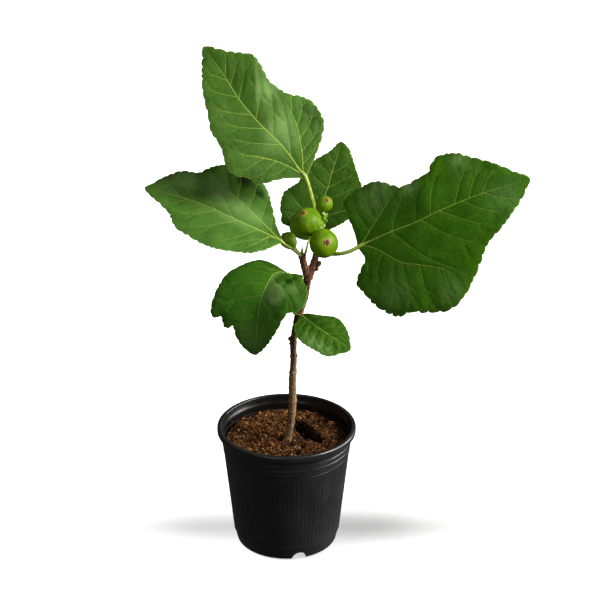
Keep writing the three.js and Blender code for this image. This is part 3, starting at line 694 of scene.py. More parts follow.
def bark_finish():
    """Bark: grey tan at the foot and dark brown in the crown, streaked along and spotted with lenticels."""
    finish = Finish("bark", Specular_IOR_Level=0.3)
    where = finish.place()
    height = finish.node("SeparateXYZ", {0: where}, "Z")
    streaks = finish.noise(finish.place(scale=(1, 1, 0.16)), 1100, 4, 0.65)
    rings = finish.noise(finish.place(scale=(0.25, 0.25, 1)), 700, 3, 0.6)
    patches = finish.noise(where, 90)
    dots = finish.cells(finish.place(scale=(1, 1, 0.6)), 520)
    old = finish.layers(srgb(98, 76, 49), (srgb(135, 105, 70), patches, 0.35, 0.65))
    young = finish.layers(srgb(68, 44, 30), (srgb(106, 68, 44), patches, 0.35, 0.65))
    colour = finish.layers(
        old, (young, height, 0.19, 0.36), (srgb(154, 119, 82), streaks, 0.5, 0.75, 0, 0.6),
        (srgb(41, 26, 20), streaks, 0.5, 0.3, 0, 0.75), (srgb(46, 30, 21), rings, 0.58, 0.72, 0, 0.6),
        (srgb(168, 125, 85), dots, 0.05, 0.18, 0.75, 0), (srgb(148, 101, 65), finish.value("ridge")),
    )
    relief = finish.maths("SUBTRACT", finish.add(streaks, (rings, 0.7)), finish.fit(dots, 0.05, 0.2, 0, 0.5))
    return finish.finish(colour, finish.fit(streaks, 0.2, 0.8, 0.7, 0.9), relief, 0.8, 0.5)


def fig_finish():
    """Unripe fig skin: olive green, darker at the neck, with faint ribs, fine pale specks and painted light
    on shaded figs.
    """
    finish = Finish("fig_skin", Specular_IOR_Level=0.18)
    where = finish.place()
    patches = finish.noise(where, 70)
    specks = finish.cells(where, 620)
    fine = finish.noise(where, 900, 4, 0.65)
    # The value lift paints a lighter green, as painted light, on figs that lie in shade.
    colour = finish.layers(
        srgb(76, 115, 2), (srgb(113, 147, 5), patches, 0.3, 0.7),
        (srgb(159, 182, 34), finish.value("rib"), 0.4, 1, 0, 0.25),
        (srgb(190, 206, 60), specks, 0.08, 0.24, 0.6, 0),
        (srgb(68, 110, 2), fine, 0.55, 0.75, 0, 0.5), (srgb(58, 93, 2), finish.value("neck")),
        (srgb(140, 190, 40), finish.value("lift")), (srgb(176, 168, 70), finish.value("ring")),
        (srgb(163, 144, 32), finish.value("spot")),
    )
    height = finish.maths("SUBTRACT", fine, finish.fit(specks, 0.05, 0.25, 0.5, 0))
    return finish.finish(colour, finish.fit(fine, 0.2, 0.8, 0.36, 0.56), height, 0.5, 0.16)


def eye_finish():
    """The small scales round a fig's eye: pink brown, darker towards the middle."""
    finish = Finish("fig_eye", Specular_IOR_Level=0.3)
    grain = finish.noise(finish.place(), 1400)
    colour = finish.layers(
        srgb(150, 84, 62), (srgb(214, 150, 116), grain, 0.3, 0.7), (srgb(84, 34, 24), finish.value("core")),
    )
    return finish.finish(colour, finish.fit(grain, 0.2, 0.8, 0.65, 0.85), grain, 0.5, 0.2)


def pot_finish():
    """Black moulded plastic, finely speckled and unevenly matt, with painted shade darkening its inside."""
    finish = Finish("pot_plastic", Specular_IOR_Level=0.5)
    where = finish.place()
    haze = finish.noise(where, 24, 4)
    grain = finish.noise(where, 1100)
    dust = finish.noise(finish.place(scale=(1, 1, 0.4)), 260, 4, 0.7)
    specks = finish.cells(where, 420)
    directions = {0: finish.node("NewGeometry", output="Normal"), 1: finish.place(scale=(1, 1, 0))}
    outward = finish.node("VectorMath", directions, "Value", operation="DOT_PRODUCT")
    # Painted shade: the inside, where the wall faces the axis, is darkened, and gets less roughness and bump.
    inside = finish.fit(outward, -0.06, -0.02, 1, 0)
    colour = finish.layers(
        srgb(25, 26, 25), (srgb(33, 34, 33), haze, 0.3, 0.7), (srgb(56, 58, 58), dust, 0.6, 0.85, 0, 0.3),
        (srgb(98, 88, 77), specks, 0.02, 0.06, 0.3, 0), (srgb(11, 11, 10), inside),
    )
    sheen = finish.maths("MULTIPLY", inside, 0.02)
    roughness = finish.maths("SUBTRACT", finish.fit(haze, 0.3, 0.7, 0.27, 0.38), sheen)
    height = finish.maths("MULTIPLY", grain, finish.fit(inside, 0, 1, 1, 0.3))
    return finish.finish(colour, roughness, height, 0.3, 0.14)


def soil_finish():
    """Coarse peat and coir: each lump has its own tone, from near black to tan."""
    finish = Finish("soil", Specular_IOR_Level=0.15)
    grain = finish.noise(finish.place(), 800, 5, 0.7)
    clumps = finish.noise(finish.place(), 130, 4)
    tone = finish.add(finish.value("tone"), (finish.maths("SUBTRACT", grain, 0.5), 0.5))
    tones = finish.ramp(tone, [
        (0, srgb(10, 4, 1)), (0.3, srgb(48, 27, 10)), (0.58, srgb(104, 63, 26)), (0.82, srgb(154, 101, 49)),
        (1, srgb(207, 153, 92)),
    ])
    colour = finish.layers(tones, (srgb(29, 15, 6), clumps, 0.48, 0.66, 0, 0.75))
    return finish.finish(colour, finish.fit(grain, 0.2, 0.8, 0.85, 0.98), grain, 0.8, 0.6)


def white_bit_finish():
    """Perlite and pale wood crumbs."""
    finish = Finish("white_bits", Specular_IOR_Level=0.3)
    grain = finish.noise(finish.place(), 1500)
    colour = finish.layers(srgb(187, 156, 122), (srgb(239, 224, 200), grain, 0.3, 0.7))
    return finish.finish(colour, finish.fit(grain, 0.2, 0.8, 0.7, 0.9), grain, 0.6, 0.3)


# ---------------------------------------------------------------- pot

# Mouldings, as steps [outward, upward] from a corner of the outline.
FOOT_STEPS = [(-0.6, -0.7), (0.1, -0.2)]
GROOVE_STEPS = [
    (0, -0.7), (-0.3, -0.4), (-POT["groove_depth"], -0.25), (-POT["groove_depth"], 0.3), (-0.2, 0.9),
]
ABOVE_GROOVE = [(-0.1, 1.4), (0, 3)]
LEDGE_FOOT = [(0, -0.9), (0.05, -0.4)]
LEDGE_BEAD = [(-0.05, -0.1), (0.3, 0.12), (0.28, 0.36), (0.04, 0.7), (0, 1.2)]
UNDER_LIP = [(0, -1.2), (0.7, -0.1)]
INSIDE_LIP = [(0.9, -0.8), (0, -2.4), (-0.03, -3.2)]
INNER_LEDGE = [(-0.2, 0.3), (-1.2, 0), (-1.4, -1)]


def wall_radius(height):
    share = (height - POT["foot_ledge"]) / (POT["groove_height"] - POT["foot_ledge"])
    return POT["wall_foot_radius"] + (POT["wall_top_radius"] - POT["wall_foot_radius"]) * share


def arc_points(radius, height, bend, start, end, count):
    """Points [radius, height] of an arc with this middle and bend, its angles in degrees."""
    angles = np.radians(np.linspace(start, end, count))
    return [(radius + bend * math.cos(a), height + bend * math.sin(a)) for a in angles]


def moulding(radius, height, steps):
    return [(radius + outward, height + upward) for outward, upward in steps]


def pot_profile():
    """The outline from the middle of the underside, up the outside and down inside, and its fluted rows."""
    top, lip, lip_inside, neck = POT["height"], POT["lip_radius"], POT["lip_inner_radius"], POT["neck_radius"]
    foot, bend, foot_ledge = POT["foot_radius"], POT["foot_round"], POT["foot_ledge"]
    wall, floor, groove, edge = POT["wall"], POT["floor"], POT["groove_height"], POT["lip_round"]
    lip_foot, inside = top - POT["lip_height"], neck - wall
    under, inner = POT["lip_under_round"], POT["lip_inner_round"]
    profile = [(0, 0), (20, 0), (40, 0), (foot - bend - 1, 0)]
    profile += arc_points(foot - bend, bend, bend, -90, 0, 9)
    profile += moulding(POT["wall_foot_radius"], foot_ledge, FOOT_STEPS)
    fluted_from = len(profile)
    heights = [foot_ledge + 0.6, foot_ledge + 2.5, *POT["wall_rows"], groove - 3.4, groove - 2.6]
    profile += [(wall_radius(height), height) for height in heights]
    fluted_to = len(profile)
    ledges = POT["ledges"][::-1] + [(lip_foot - 0.4, neck)]
    profile += moulding(POT["wall_top_radius"], groove, GROOVE_STEPS)
    profile += moulding(ledges[0][1], groove, ABOVE_GROOVE)
    for (height, radius), (_, wider) in zip(ledges, ledges[1:]):
        profile += moulding(radius, height, LEDGE_FOOT) + moulding(wider, height, LEDGE_BEAD)
    profile += moulding(neck, lip_foot, UNDER_LIP)
    profile += arc_points(lip - under, lip_foot + under, under, -90, 0, 5) + [(lip, top - 4)]
    profile += arc_points(lip - edge, top - edge, edge, 0, 90, 8)
    profile += arc_points(lip_inside + inner, top - inner, inner, 90, 180, 5)
    profile += [(lip_inside - 0.4, lip_foot + 2.4)]
    profile += moulding(inside, lip_foot, INSIDE_LIP) + moulding(inside, POT["inner_ledge"], INNER_LEDGE)
    profile += [(wall_radius(height) - wall, height) for height in (groove, 60, foot_ledge)]
    profile += [(foot - wall, bend), (foot - wall - bend / 2, floor), (0, floor)]
    return profile, fluted_from, fluted_to


def prism(ends, axes, angle):
    """A closed block between two outlines, each (outline, level), its axes put in order, turned round Z."""
    count = len(ends[0][0])
    points = np.array([(*spot, level) for outline, level in ends for spot in outline])[:, axes]
    faces = grid_faces(2, count) + [list(reversed(range(count))), list(range(count, 2 * count))]
    return points @ spin(math.radians(angle)), faces


def channel_shapes():
    """The covers over the drainage channels, which join the pot, and the channels, which are cut from it."""
    cover, half, near = CHANNEL["cover"], CHANNEL["width"] / 2, CHANNEL["inner_radius"]
    height, rise = CHANNEL["height"], CHANNEL["rise"]
    across = np.linspace(-half - cover, half + cover, 11)
    roofs = []
    for reach, level in ((POT["foot_radius"] - 2.2, 2.0), (POT["foot_radius"] + 1.1, height + cover)):
        curve = [((reach**2 - y * y) ** 0.5, y) for y in across]
        roofs.append(([(near - cover, across[-1]), (near - cover, across[0])] + curve, level))
    arch = [(-half, -1), (half, -1)]
    arch += [(half * math.cos(a), height - rise + rise * math.sin(a)) for a in np.linspace(0, math.pi, 13)]
    covers, channels = Shape(), Shape()
    for i in range(CHANNEL["count"]):
        angle = CHANNEL["first_angle"] + i * 360 / CHANNEL["count"]
        covers.add(*prism(roofs, [0, 1, 2], angle))
        channels.add(*prism([(arch, near), (arch, POT["lip_radius"])], [2, 0, 1], angle))
    return covers, channels


def make_pot(finish):
    random = np.random.default_rng(5)
    profile, first_fluted, after_fluted = pot_profile()
    per_flute = POT["columns_per_flute"]
    columns = POT["flutes"] * per_flute
    points, faces = turned(profile, columns)
    row, column = np.divmod(np.arange(len(points)), columns)
    fluted = (row >= first_fluted) & (row < after_fluted - 2) & (column % per_flute == 0)
    depths = POT["flute_depth"] * random.uniform(*POT["flute_variation"], POT["flutes"])
    inward = np.where(fluted, depths[column // per_flute], 0.0)
    points[:, :2] -= inward[:, None] * circle(np.arctan2(points[:, 1], points[:, 0]))
    covers, channels = channel_shapes()
    for operation, cutter in (("UNION", covers), ("DIFFERENCE", channels)):
        pot, tool = single("pot_body", points, faces, finish), cutter.build("pot_tool")
        modifier = pot.modifiers.new("cut", "BOOLEAN")
        modifier.operation, modifier.solver, modifier.object = operation, "EXACT", tool
        points, faces = solid_shape(pot)
        bpy.data.objects.remove(tool)
    pot = single("pot_body", points, faces, finish)
    pot.data.shade_smooth()
    pot.data.set_sharp_from_angle(angle=math.radians(35))
    return pot


# ---------------------------------------------------------------- compost

GOLDEN = (1 + 5**0.5) / 2
ICO_POINTS = unit(np.array([
    np.roll((side, up * GOLDEN, 0), axis) for axis in range(3) for up in (1, -1) for side in (-1, 1)
]))
ICO_FACES = [
    (0, 11, 5), (0, 5, 1), (0, 1, 7), (0, 7, 10), (0, 10, 11), (1, 5, 9), (5, 11, 4), (11, 10, 2), (10, 7, 6),
    (7, 1, 8), (3, 9, 4), (3, 4, 2), (3, 2, 6), (3, 6, 8), (3, 8, 9), (4, 9, 5), (2, 4, 11), (6, 2, 10),
    (8, 6, 7), (9, 8, 1),
]


def soil_height(flat):
    """The compost's surface height at each point [x, y]."""
    radius = np.hypot(*flat.T)
    height = SOIL["level"] + SOIL["crown"] * np.clip(radius / SOIL["crown_radius"], 0, 1) ** 1.5
    height -= np.clip((radius - SOIL["shoulder"]) / SOIL["shoulder_width"], 0, 1) ** 2 * SOIL["edge_drop"]
    height -= bell_sum(flat, SOIL["hollows"], 3)
    for rise, across, seed in SOIL["relief"]:
        height += rise * noise(lifted(flat, 0) / across, seed)
    return height


def soil_tone(points, middle, across, seed, layers):
    """How light the compost is at each point: patchy, with painted shade in its hollows."""
    patches = 0.3 * layered_noise(points / across, seed, layers)
    return middle + patches - SOIL["hollow_shade"] * bell_sum(points, SOIL["hollows"], 3)


def crumb(random, centre, size):
    """A rough lump or chip of the given half sizes, turned at random but lying flat."""
    points = ICO_POINTS * random.uniform(0.65, 1.2, (12, 1)) * size
    turn, tilt = random.uniform(0, 2 * math.pi), random.normal(0, 0.4)
    axes = basis((math.sin(tilt), random.normal(0, 0.35), math.cos(tilt)))
    return points @ spin(turn) @ axes + centre


def scattered(random, kind):
    """Points [x, y, z] spread evenly over the compost, clear of the trunk, and the kind's range of sizes."""
    count, margin, *sizes = STREWN[kind]
    radius = (SOIL["edge"] - margin) * np.sqrt(random.uniform(0.006, 1, count))
    flat = radius[:, None] * circle(random.uniform(0, 2 * math.pi, count))
    return lifted(flat, soil_height(flat)), sizes


def fibre(random, at, lengths):
    """A thin bent fibre that lies on the compost."""
    heading, length = random.uniform(0, 2 * math.pi), random.uniform(*lengths)
    along = np.linspace(-0.5, 0.5, 4)[:, None] * length * circle(heading)
    track = at[:2] + along + random.normal(0, 0.5, (4, 2))
    track *= np.minimum(1, (SOIL["edge"] - 3) / np.hypot(*track.T))[:, None]
    height = soil_height(track) + random.uniform(0.3, 1.1, 4)
    thick = random.uniform(0.16, 0.34) * np.array([0.6, 1, 1, 0.5])
    return tube(np.column_stack([track, height, thick]), 5, 6)[:2]


def make_soil(finish, white):
    """The compost: a closed body with a rough top, strewn with lumps, crumbs, fibres and white bits."""
    random = np.random.default_rng(11)
    rings, around = SOIL["rings"], SOIL["around"]
    ring = circle(turns(around))
    radius = SOIL["edge"] * np.linspace(1 / rings, 1, rings)[::-1, None] ** 0.9
    ragged = 0.012 * (1 + noise(lifted(ring * 6, 0), 9))
    reach = radius * (1 - ragged * (radius / SOIL["edge"]) ** 4)
    flat = (reach[..., None] * ring).reshape(-1, 2)
    low = CHANNEL["height"] + CHANNEL["cover"] + SOIL["clearance"]
    ends = [[0, 0, low], [0, 0, soil_height(np.zeros((1, 2)))[0]]]
    points = np.vstack([lifted(ring * SOIL["foot_radius"], low), lifted(flat, soil_height(flat)), ends])
    soil = Shape()
    faces = grid_faces(rings + 1, around) + end_fans(len(points) - 2, around)
    soil.add(points, faces, tone=np.clip(soil_tone(points, 0.4, 2.6, 21, 3), 0, 1))
    for kind in ("lumps", "crumbs"):
        places, sizes = scattered(random, kind)
        for at, shade in zip(places, soil_tone(places, 0.5, 5, 23, 2)):
            size = random.uniform(*sizes)
            size = size * np.array([1, random.uniform(0.45, 0.85), random.uniform(0.35, 0.6)])
            tone = np.clip(random.normal(shade, 0.13), 0.03, 0.98)
            soil.add(crumb(random, at + [0, 0, 0.25], size), ICO_FACES, tone=tone)
    places, lengths = scattered(random, "fibres")
    for at in places:
        soil.add(*fibre(random, at, lengths), tone=np.clip(random.normal(0.78, 0.14), 0.3, 1))
    places, sizes = scattered(random, "white_bits")
    for at in places:
        size = np.array([1, 0.7, 0.6]) * random.uniform(*sizes)
        soil.add(crumb(random, at + [0, 0, 1.2], size), ICO_FACES, slot=1)
    return soil.build("soil_surface", [finish, white])


# ---------------------------------------------------------------- wood

BARK_VOXEL, SHOOT_VOXEL = 0.5, 0.4

# Small scales at the top of the shoot, as the stations of short tubes.
SHOOT_SCALES = [
    [[42.6, 14.6, 413, 1.6], [40.6, 11.6, 415.6, 1.7], [39.8, 10.4, 418.6, 0.9]],
    [[43.2, 15, 417, 1.9], [41.4, 12.6, 421, 2], [41.2, 12, 425, 1.2]],
    [[45, 15, 422, 1.8], [47.4, 13.6, 423.6, 1.7], [48.6, 13, 425.6, 0.8]],
    [[45.4, 15, 427, 1.8], [47.8, 14.2, 430.6, 1.4], [49.4, 13.8, 433.4, 0.5]],
    [[45.6, 15.2, 428, 2.2], [44.6, 14.2, 431.6, 2.2], [44.2, 13.6, 434, 1.7]],
]
POINTS_AT_ONCE = 4000


def wood_relief(points, axis, rings, seed, size):
    """How far bark stands out at each point, and how much of that is a ring scar."""
    nearest = np.concatenate([
        np.argmin(((part[:, None] - axis[None]) ** 2).sum(axis=2), axis=1)
        for part in np.array_split(points, max(len(points) // POINTS_AT_ONCE, 1))
    ])
    out = points - axis[nearest]
    out[:, 2] *= 0.25
    out = unit(out)
    angle = np.arctan2(out[:, 1], out[:, 0])
    travelled = run_length(axis)[nearest]
    streaks = layered_noise(lifted(circle(angle) * 4, travelled * 0.09), seed)
    rough = layered_noise(points * 0.9, seed + 7, 2)
    tilted = points[:, 2] + 0.9 * np.sin(angle + travelled * 0.07) + 0.4 * streaks
    scar = np.zeros(len(points))
    for height, rise, width in rings:
        scar += rise * np.exp(-((tilted - height) / width) ** 2) * (1 + 0.35 * np.sin(angle * 3 + height))
    wart = np.clip(noise(points * [0.55, 0.55, 0.4], seed + 20) - 0.45, 0, 1)
    relief = size * (0.28 * streaks + 0.16 * rough + 1.1 * wart) + scar
    return out * relief[:, None], np.clip(scar / 0.7, 0, 1)


def fused(bodies, voxel, rounds):
    """One closed skin round overlapping closed bodies, smoothed a little."""
    heap = Shape()
    for points, faces, _ in bodies:
        heap.add(points, faces)
    piece = heap.build("fused")
    remesh = piece.modifiers.new("fuse", "REMESH")
    remesh.mode = "VOXEL"
    remesh.voxel_size = voxel * MM
    smooth = piece.modifiers.new("smooth", "SMOOTH")
    smooth.factor = 0.5
    smooth.iterations = rounds
    return solid_shape(piece)


def make_wood(finish):
    """The trunk and both boughs with their stubs, as one skin of bark with its node rings."""
    limbs = [TRUNK["stations"], TRUNK["stub"], TRUNK["bump"], BOUGH_LEFT["stations"]]
    limbs += [BOUGH_RIGHT["stations"], BOUGH_RIGHT["stub"], BOUGH_RIGHT["bump"]]
    bodies = [tube(stations, 32, max(len(stations) * 8, 24)) for stations in limbs]
    points, faces = fused(bodies, BARK_VOXEL, 4)
    paths = ((TRUNK, 240), (BOUGH_LEFT, 30), (BOUGH_RIGHT, 36))
    axis = np.vstack([spline(part["stations"], count)[:, :3] for part, count in paths])
    shift, scar = wood_relief(points, axis, TRUNK["rings"], 31, 1.0)
    return single("bark", points + shift, faces, finish, ridge=scar * 0.5)


def make_shoot(finish):
    """The green shoot, ringed by leaf scars, with its pale cut top and small scales."""
    bodies = [tube(SHOOT["stations"], 32, 60)] + [tube(stations, 20, 14) for stations in SHOOT_SCALES]
    points, faces = fused(bodies, SHOOT_VOXEL, 3)
    axis = spline(SHOOT["stations"], 90)[:, :3]
    shift, scar = wood_relief(points, axis, SHOOT["rings"], 51, 0.7)
    cut = np.exp(-((points[:, 2] - SHOOT["cut_height"]) / 2.2) ** 2)
    foot = np.exp(-((points[:, 2] - SHOOT["stations"][0][2]) / 4) ** 2)
    shown = np.clip(0.3 * scar + cut, 0, 1)
    return single("green_shoot", points + shift, faces, finish, scar=shown, blush=foot)


def make_bud(finish):
    points, faces, share = tube(BUD["stations"], 28, 36, BUD["ridge"])
    return single("side_bud", points, faces, finish, scar=0.35 * share, blush=np.clip(1 - share * 4, 0, 1))


# ---------------------------------------------------------------- leaves

BEND_STEPS = 32
MARGIN_STEP, VEIN_STEP = 0.6, 1.3

# A tooth's pitch and depth each start from a value and grow with the length of the blade.
TOOTH_PITCH, PITCH_GROWTH = 5.0, 0.03
TOOTH_DEPTH, DEPTH_GROWTH = 1.1, 0.008
FINEST_VEIN = 0.16
VEIN_REACH = 14
VEIN_THICKNESS = {"rib": 0.5, "midrib_fork": 0.21, "rib_fork": 0.25, "twig": 0.11}
VEIN_STRENGTH = {"rib": 0.95, "fork": 0.66, "twig": 0.4}
RIB_RISE, RIB_DEPTH = 0.25, 1.1
RIPPLE_HEIGHT, FINE_HEIGHT = 1.1, 0.14


def blade_surface(leaf):
    """Places points [x, y] of the flat blade on the bent one, offset off its face; and the blade's length."""
    junction, tip = np.array(leaf["junction"], float), np.array(leaf["tip"], float)
    reach = np.linalg.norm(tip - junction)
    chord = (tip - junction) / reach
    upright = unit(np.array([0, 0, 1.0]) - chord * chord[2])
    roll = math.radians(leaf["roll"])
    normal = upright * math.cos(roll) + np.cross(upright, chord) * math.sin(roll)
    left = np.cross(normal, chord)
    arch, power = math.radians(leaf["arch"]), leaf.get("arch_power", 1)
    slopes = -arch * ((np.arange(BEND_STEPS) + 0.5) / BEND_STEPS) ** power
    run_x = np.concatenate([[0], np.cumsum(np.cos(slopes))]) / BEND_STEPS
    run_z = np.concatenate([[0], np.cumsum(np.sin(slopes))]) / BEND_STEPS
    drop = math.atan2(run_z[-1], run_x[-1])
    length = reach / math.hypot(run_x[-1], run_z[-1])
    marks = np.linspace(0, 1, BEND_STEPS + 1)

    def place(flat, offset=0.0):
        x, y = np.asarray(flat, float).T
        share = np.clip(x / length, 0, 1)
        bent_x = np.interp(share, marks, run_x) * length
        bent_z = np.interp(share, marks, run_z) * length
        heading = -arch * share**power - drop
        beyond = x - share * length
        along = bent_x * math.cos(drop) + bent_z * math.sin(drop) + beyond * np.cos(heading)
        rise = bent_z * math.cos(drop) - bent_x * math.sin(drop) + beyond * np.sin(heading)
        fold, curl = (np.where(y >= 0, *leaf[key]) for key in ("fold", "curl"))
        lift = np.radians(fold + curl * np.abs(y) / (0.5 * length))
        sideways = y * np.cos(lift) + leaf["sway"] * 4 * share * (1 - share)
        height = (np.sqrt(y * y + 16) - 4) * np.sin(lift) + offset
        return (
            junction
            + chord * (along - np.sin(heading) * height)[:, None]
            + normal * (rise + np.cos(heading) * height)[:, None]
            + left * sideways[:, None]
        )

    return place, length


def toothed_margin(leaf, random):
    """The blade's outline with rounded teeth, which lean to the tip and fade out at the stalk and the tip."""
    angle, distance = np.array(leaf["margin"], float).T
    corners = circle(np.radians(angle)) * distance[:, None]
    outline = resampled(spline(corners, 3000, closed=True), MARGIN_STEP)[:-1]
    ahead = np.roll(outline, -1, axis=0) - np.roll(outline, 1, axis=0)
    outward = unit(np.stack([ahead[:, 1], -ahead[:, 0]], axis=1))
    travelled = run_length(outline)
    size = distance[0]
    pitch = TOOTH_PITCH + size * PITCH_GROWTH
    starts = [0.0]
    while starts[-1] < travelled[-1]:
        starts.append(starts[-1] + pitch * random.uniform(0.55, 1.45))
    starts = np.array(starts)
    depth = random.uniform(0.35, 1.0, len(starts)) * (TOOTH_DEPTH + size * DEPTH_GROWTH)
    tooth = np.searchsorted(starts, travelled, side="right") - 1
    ends = starts[np.minimum(tooth + 1, len(starts) - 1)]
    part = (travelled - starts[tooth]) / (ends - starts[tooth] + 1e-6)
    part = np.where(travelled > travelled[-1] / 2, part, 1 - part)
    bulge = np.sin(math.pi * np.clip(part, 0, 1) ** 0.7) ** 0.6 - 0.6
    fade = np.clip((np.hypot(*outline.T) - 12) / 16, 0, 1) * np.clip((size - outline[:, 0]) / 8, 0.25, 1)
    return outline + outward * (bulge * depth[tooth] * fade)[:, None]


def leaf_veins(leaf, random):
    """Each vein as its points on the flat blade, its half width at each, and how plainly it shows at each."""
    veins = []
    shown = leaf.get("faint", 1)

    def vein(through, samples, thick, plain):
        line = resampled(spline(through, samples), VEIN_STEP)
        share = np.linspace(0, 1, len(line))
        widths = np.maximum(thick * (1 - 0.72 * share), FINEST_VEIN)
        veins.append((line, widths, plain * np.clip((1.04 - share) / 0.3, 0.1, 1)))
        return line

    for index, rib in enumerate(leaf["ribs"]):
        line = vein(rib["line"], 200, rib["width"] * VEIN_THICKNESS["rib"], VEIN_STRENGTH["rib"])
        fork_thickness = rib["width"] * VEIN_THICKNESS["rib_fork" if index else "midrib_fork"]
        travelled = run_length(line)
        for start, *end in rib["forks"]:
            root = np.array([np.interp(start, travelled, column) for column in line.T])
            chord = end - root
            heading = line[min(np.searchsorted(travelled, start) + 3, len(line) - 1)] - root
            across = np.array([-chord[1], chord[0]])
            bow = -0.06 * math.copysign(1.0, across @ heading)
            middle = root + chord * 0.5 + across * bow + random.normal(0, 0.5, 2)
            bend = root + chord * 0.8 + across * (bow * 0.8) + random.normal(0, 0.5, 2)
            fork = vein([root, middle, bend, end], 80, fork_thickness, VEIN_STRENGTH["fork"] * shown)
            for share, side in ((0.52, 1), (0.72, -1)):
                place = fork[int(share * (len(fork) - 1))]
                ray = unit(chord) @ spin(math.radians(side * random.uniform(32, 48)))[:2, :2]
                reach = np.linalg.norm(chord) * random.uniform(0.16, 0.26)
                bent = place + ray * reach * 0.5 + random.normal(0, 0.4, 2)
                twig_end = place + ray * reach + unit(chord) * reach * 0.2
                twig_thickness = rib["width"] * VEIN_THICKNESS["twig"]
                vein([place, bent, twig_end], 30, twig_thickness, VEIN_STRENGTH["twig"] * shown)
    return veins


def nearest_on(flat, line):
    """Distance from each flat point to a polyline, and the share along it."""
    best = np.full(len(flat), 1e9)
    where = np.zeros(len(flat))
    for i in range(len(line) - 1):
        step = line[i + 1] - line[i]
        along = np.clip(((flat - line[i]) @ step) / (step @ step), 0, 1)
        gap = np.hypot(*(flat - line[i] - along[:, None] * step).T)
        closer = gap < best
        best = np.where(closer, gap, best)
        where = np.where(closer, (i + along) / (len(line) - 1), where)
    return best, where


def vein_field(flat, veins):
    """How deep in a vein each point is, from 0 to 1, its half width and plainness, and the distance to it."""
    depth, width, plain = np.zeros((3, len(flat)))
    gap = np.full(len(flat), 1e9)
    for line, widths, show in veins:
        near = np.all((flat > line.min(axis=0) - VEIN_REACH) & (flat < line.max(axis=0) + VEIN_REACH), axis=1)
        distance, share = nearest_on(flat[near], line)
        marks = np.linspace(0, 1, len(widths))
        half, shown = np.interp(share, marks, widths), np.interp(share, marks, show)
        inside = np.clip(1 - distance / half, 0, 1)
        deeper = inside * shown > depth[near] * plain[near]
        for field, value in ((width, half), (plain, shown), (depth, inside)):
            field[near] = np.where(deeper, value, field[near])
        gap[near] = np.minimum(gap[near], distance / (0.2 + 0.8 * show[0]))
    return depth, width, plain, np.minimum(gap, VEIN_REACH)


def thinned(points, keep_off, distance):
    """The points that are further than distance from every point of keep_off and from each other."""
    taken = {}
    for spot in keep_off:
        taken.setdefault((int(spot[0] // distance), int(spot[1] // distance)), []).append(spot)
    kept = []
    for spot in points:
        column, row = int(spot[0] // distance), int(spot[1] // distance)
        cells = itertools.product((column - 1, column, column + 1), (row - 1, row, row + 1))
        near = (other for cell in cells for other in taken.get(cell, ()))
        if all((p[0] - spot[0]) ** 2 + (p[1] - spot[1]) ** 2 > distance**2 for p in near):
            kept.append(spot)
            taken.setdefault((column, row), []).append(spot)
    return kept


def blade_net(edge, veins, spacing):
    """Triangles that cover the flat blade, with points on its margin and on each vein's crest and sides."""
    crests = []
    for line, widths, _ in veins:
        ahead = unit(np.gradient(line, axis=0))
        across = np.stack([-ahead[:, 1], ahead[:, 0]], axis=1) * widths[:, None]
        crests += [line, line + across, line - across]
    low, high = edge.min(axis=0), edge.max(axis=0)
    rows = np.arange(low[1], high[1], spacing * 0.866)
    mesh_x, mesh_y = np.meshgrid(np.arange(low[0], high[0], spacing), rows)
    mesh_x = mesh_x + (np.arange(len(rows)) % 2)[:, None] * spacing / 2
    crests = thinned(np.vstack(crests), edge, 0.14)
    inner = thinned(np.stack([mesh_x.ravel(), mesh_y.ravel()], axis=1), list(edge) + crests, spacing * 0.55)
    points = [Vector(spot) for spot in itertools.chain(edge, crests, inner)]
    loop = [(i, (i + 1) % len(edge)) for i in range(len(edge))]
    flat, _, faces, _, _, _ = delaunay_2d_cdt(points, loop, [list(range(len(edge)))], 1, 1e-5)
    used, corners = np.unique(np.array(faces), return_inverse=True)
    return np.array([tuple(spot) for spot in flat])[used], corners.reshape(-1, 3).tolist()


def painted_crease_light(flat, painted_creases):
    """The painted light and shade along each crease, which fades over its reach."""
    total = np.zeros(len(flat))
    for points, reach, on_left, on_right in painted_creases:
        line = spline(points, 40)
        distance, share = nearest_on(flat, line)
        index = np.minimum((share * (len(line) - 1)).astype(int), len(line) - 2)
        ahead = unit(line[index + 1] - line[index])
        away = flat - line[index]
        side = np.clip((ahead[:, 0] * away[:, 1] - ahead[:, 1] * away[:, 0]) / 1.6, -1, 1)
        fade = np.exp(-(distance / reach) ** 2) * np.clip((1 - share) / 0.3, 0, 1) ** 0.7
        total += fade * np.where(side > 0, on_left * side, on_right * -side)
    return total


def rounded_rim(flat, faces, half):
    """The margin's points, where each lies pushed outwards, and the faces that close the blade there."""
    directed = {(face[i], face[(i + 1) % len(face)]) for face in faces for i in range(len(face))}
    outline = [(a, b) for a, b in sorted(directed) if (b, a) not in directed]
    pushed = {}
    for a, b in outline:
        step = flat[b] - flat[a]
        for end in (a, b):
            pushed[end] = pushed.get(end, 0) + unit(np.array([step[1], -step[0]]))
    order = sorted(pushed)
    beyond = np.array([flat[end] + unit(pushed[end]) * half for end in order])
    count = len(flat)
    number = {end: 2 * count + i for i, end in enumerate(order)}
    strip = []
    for a, b in outline:
        strip += [[b, a, number[a], number[b]], [number[b], number[a], count + a, count + b]]
    return order, beyond, strip


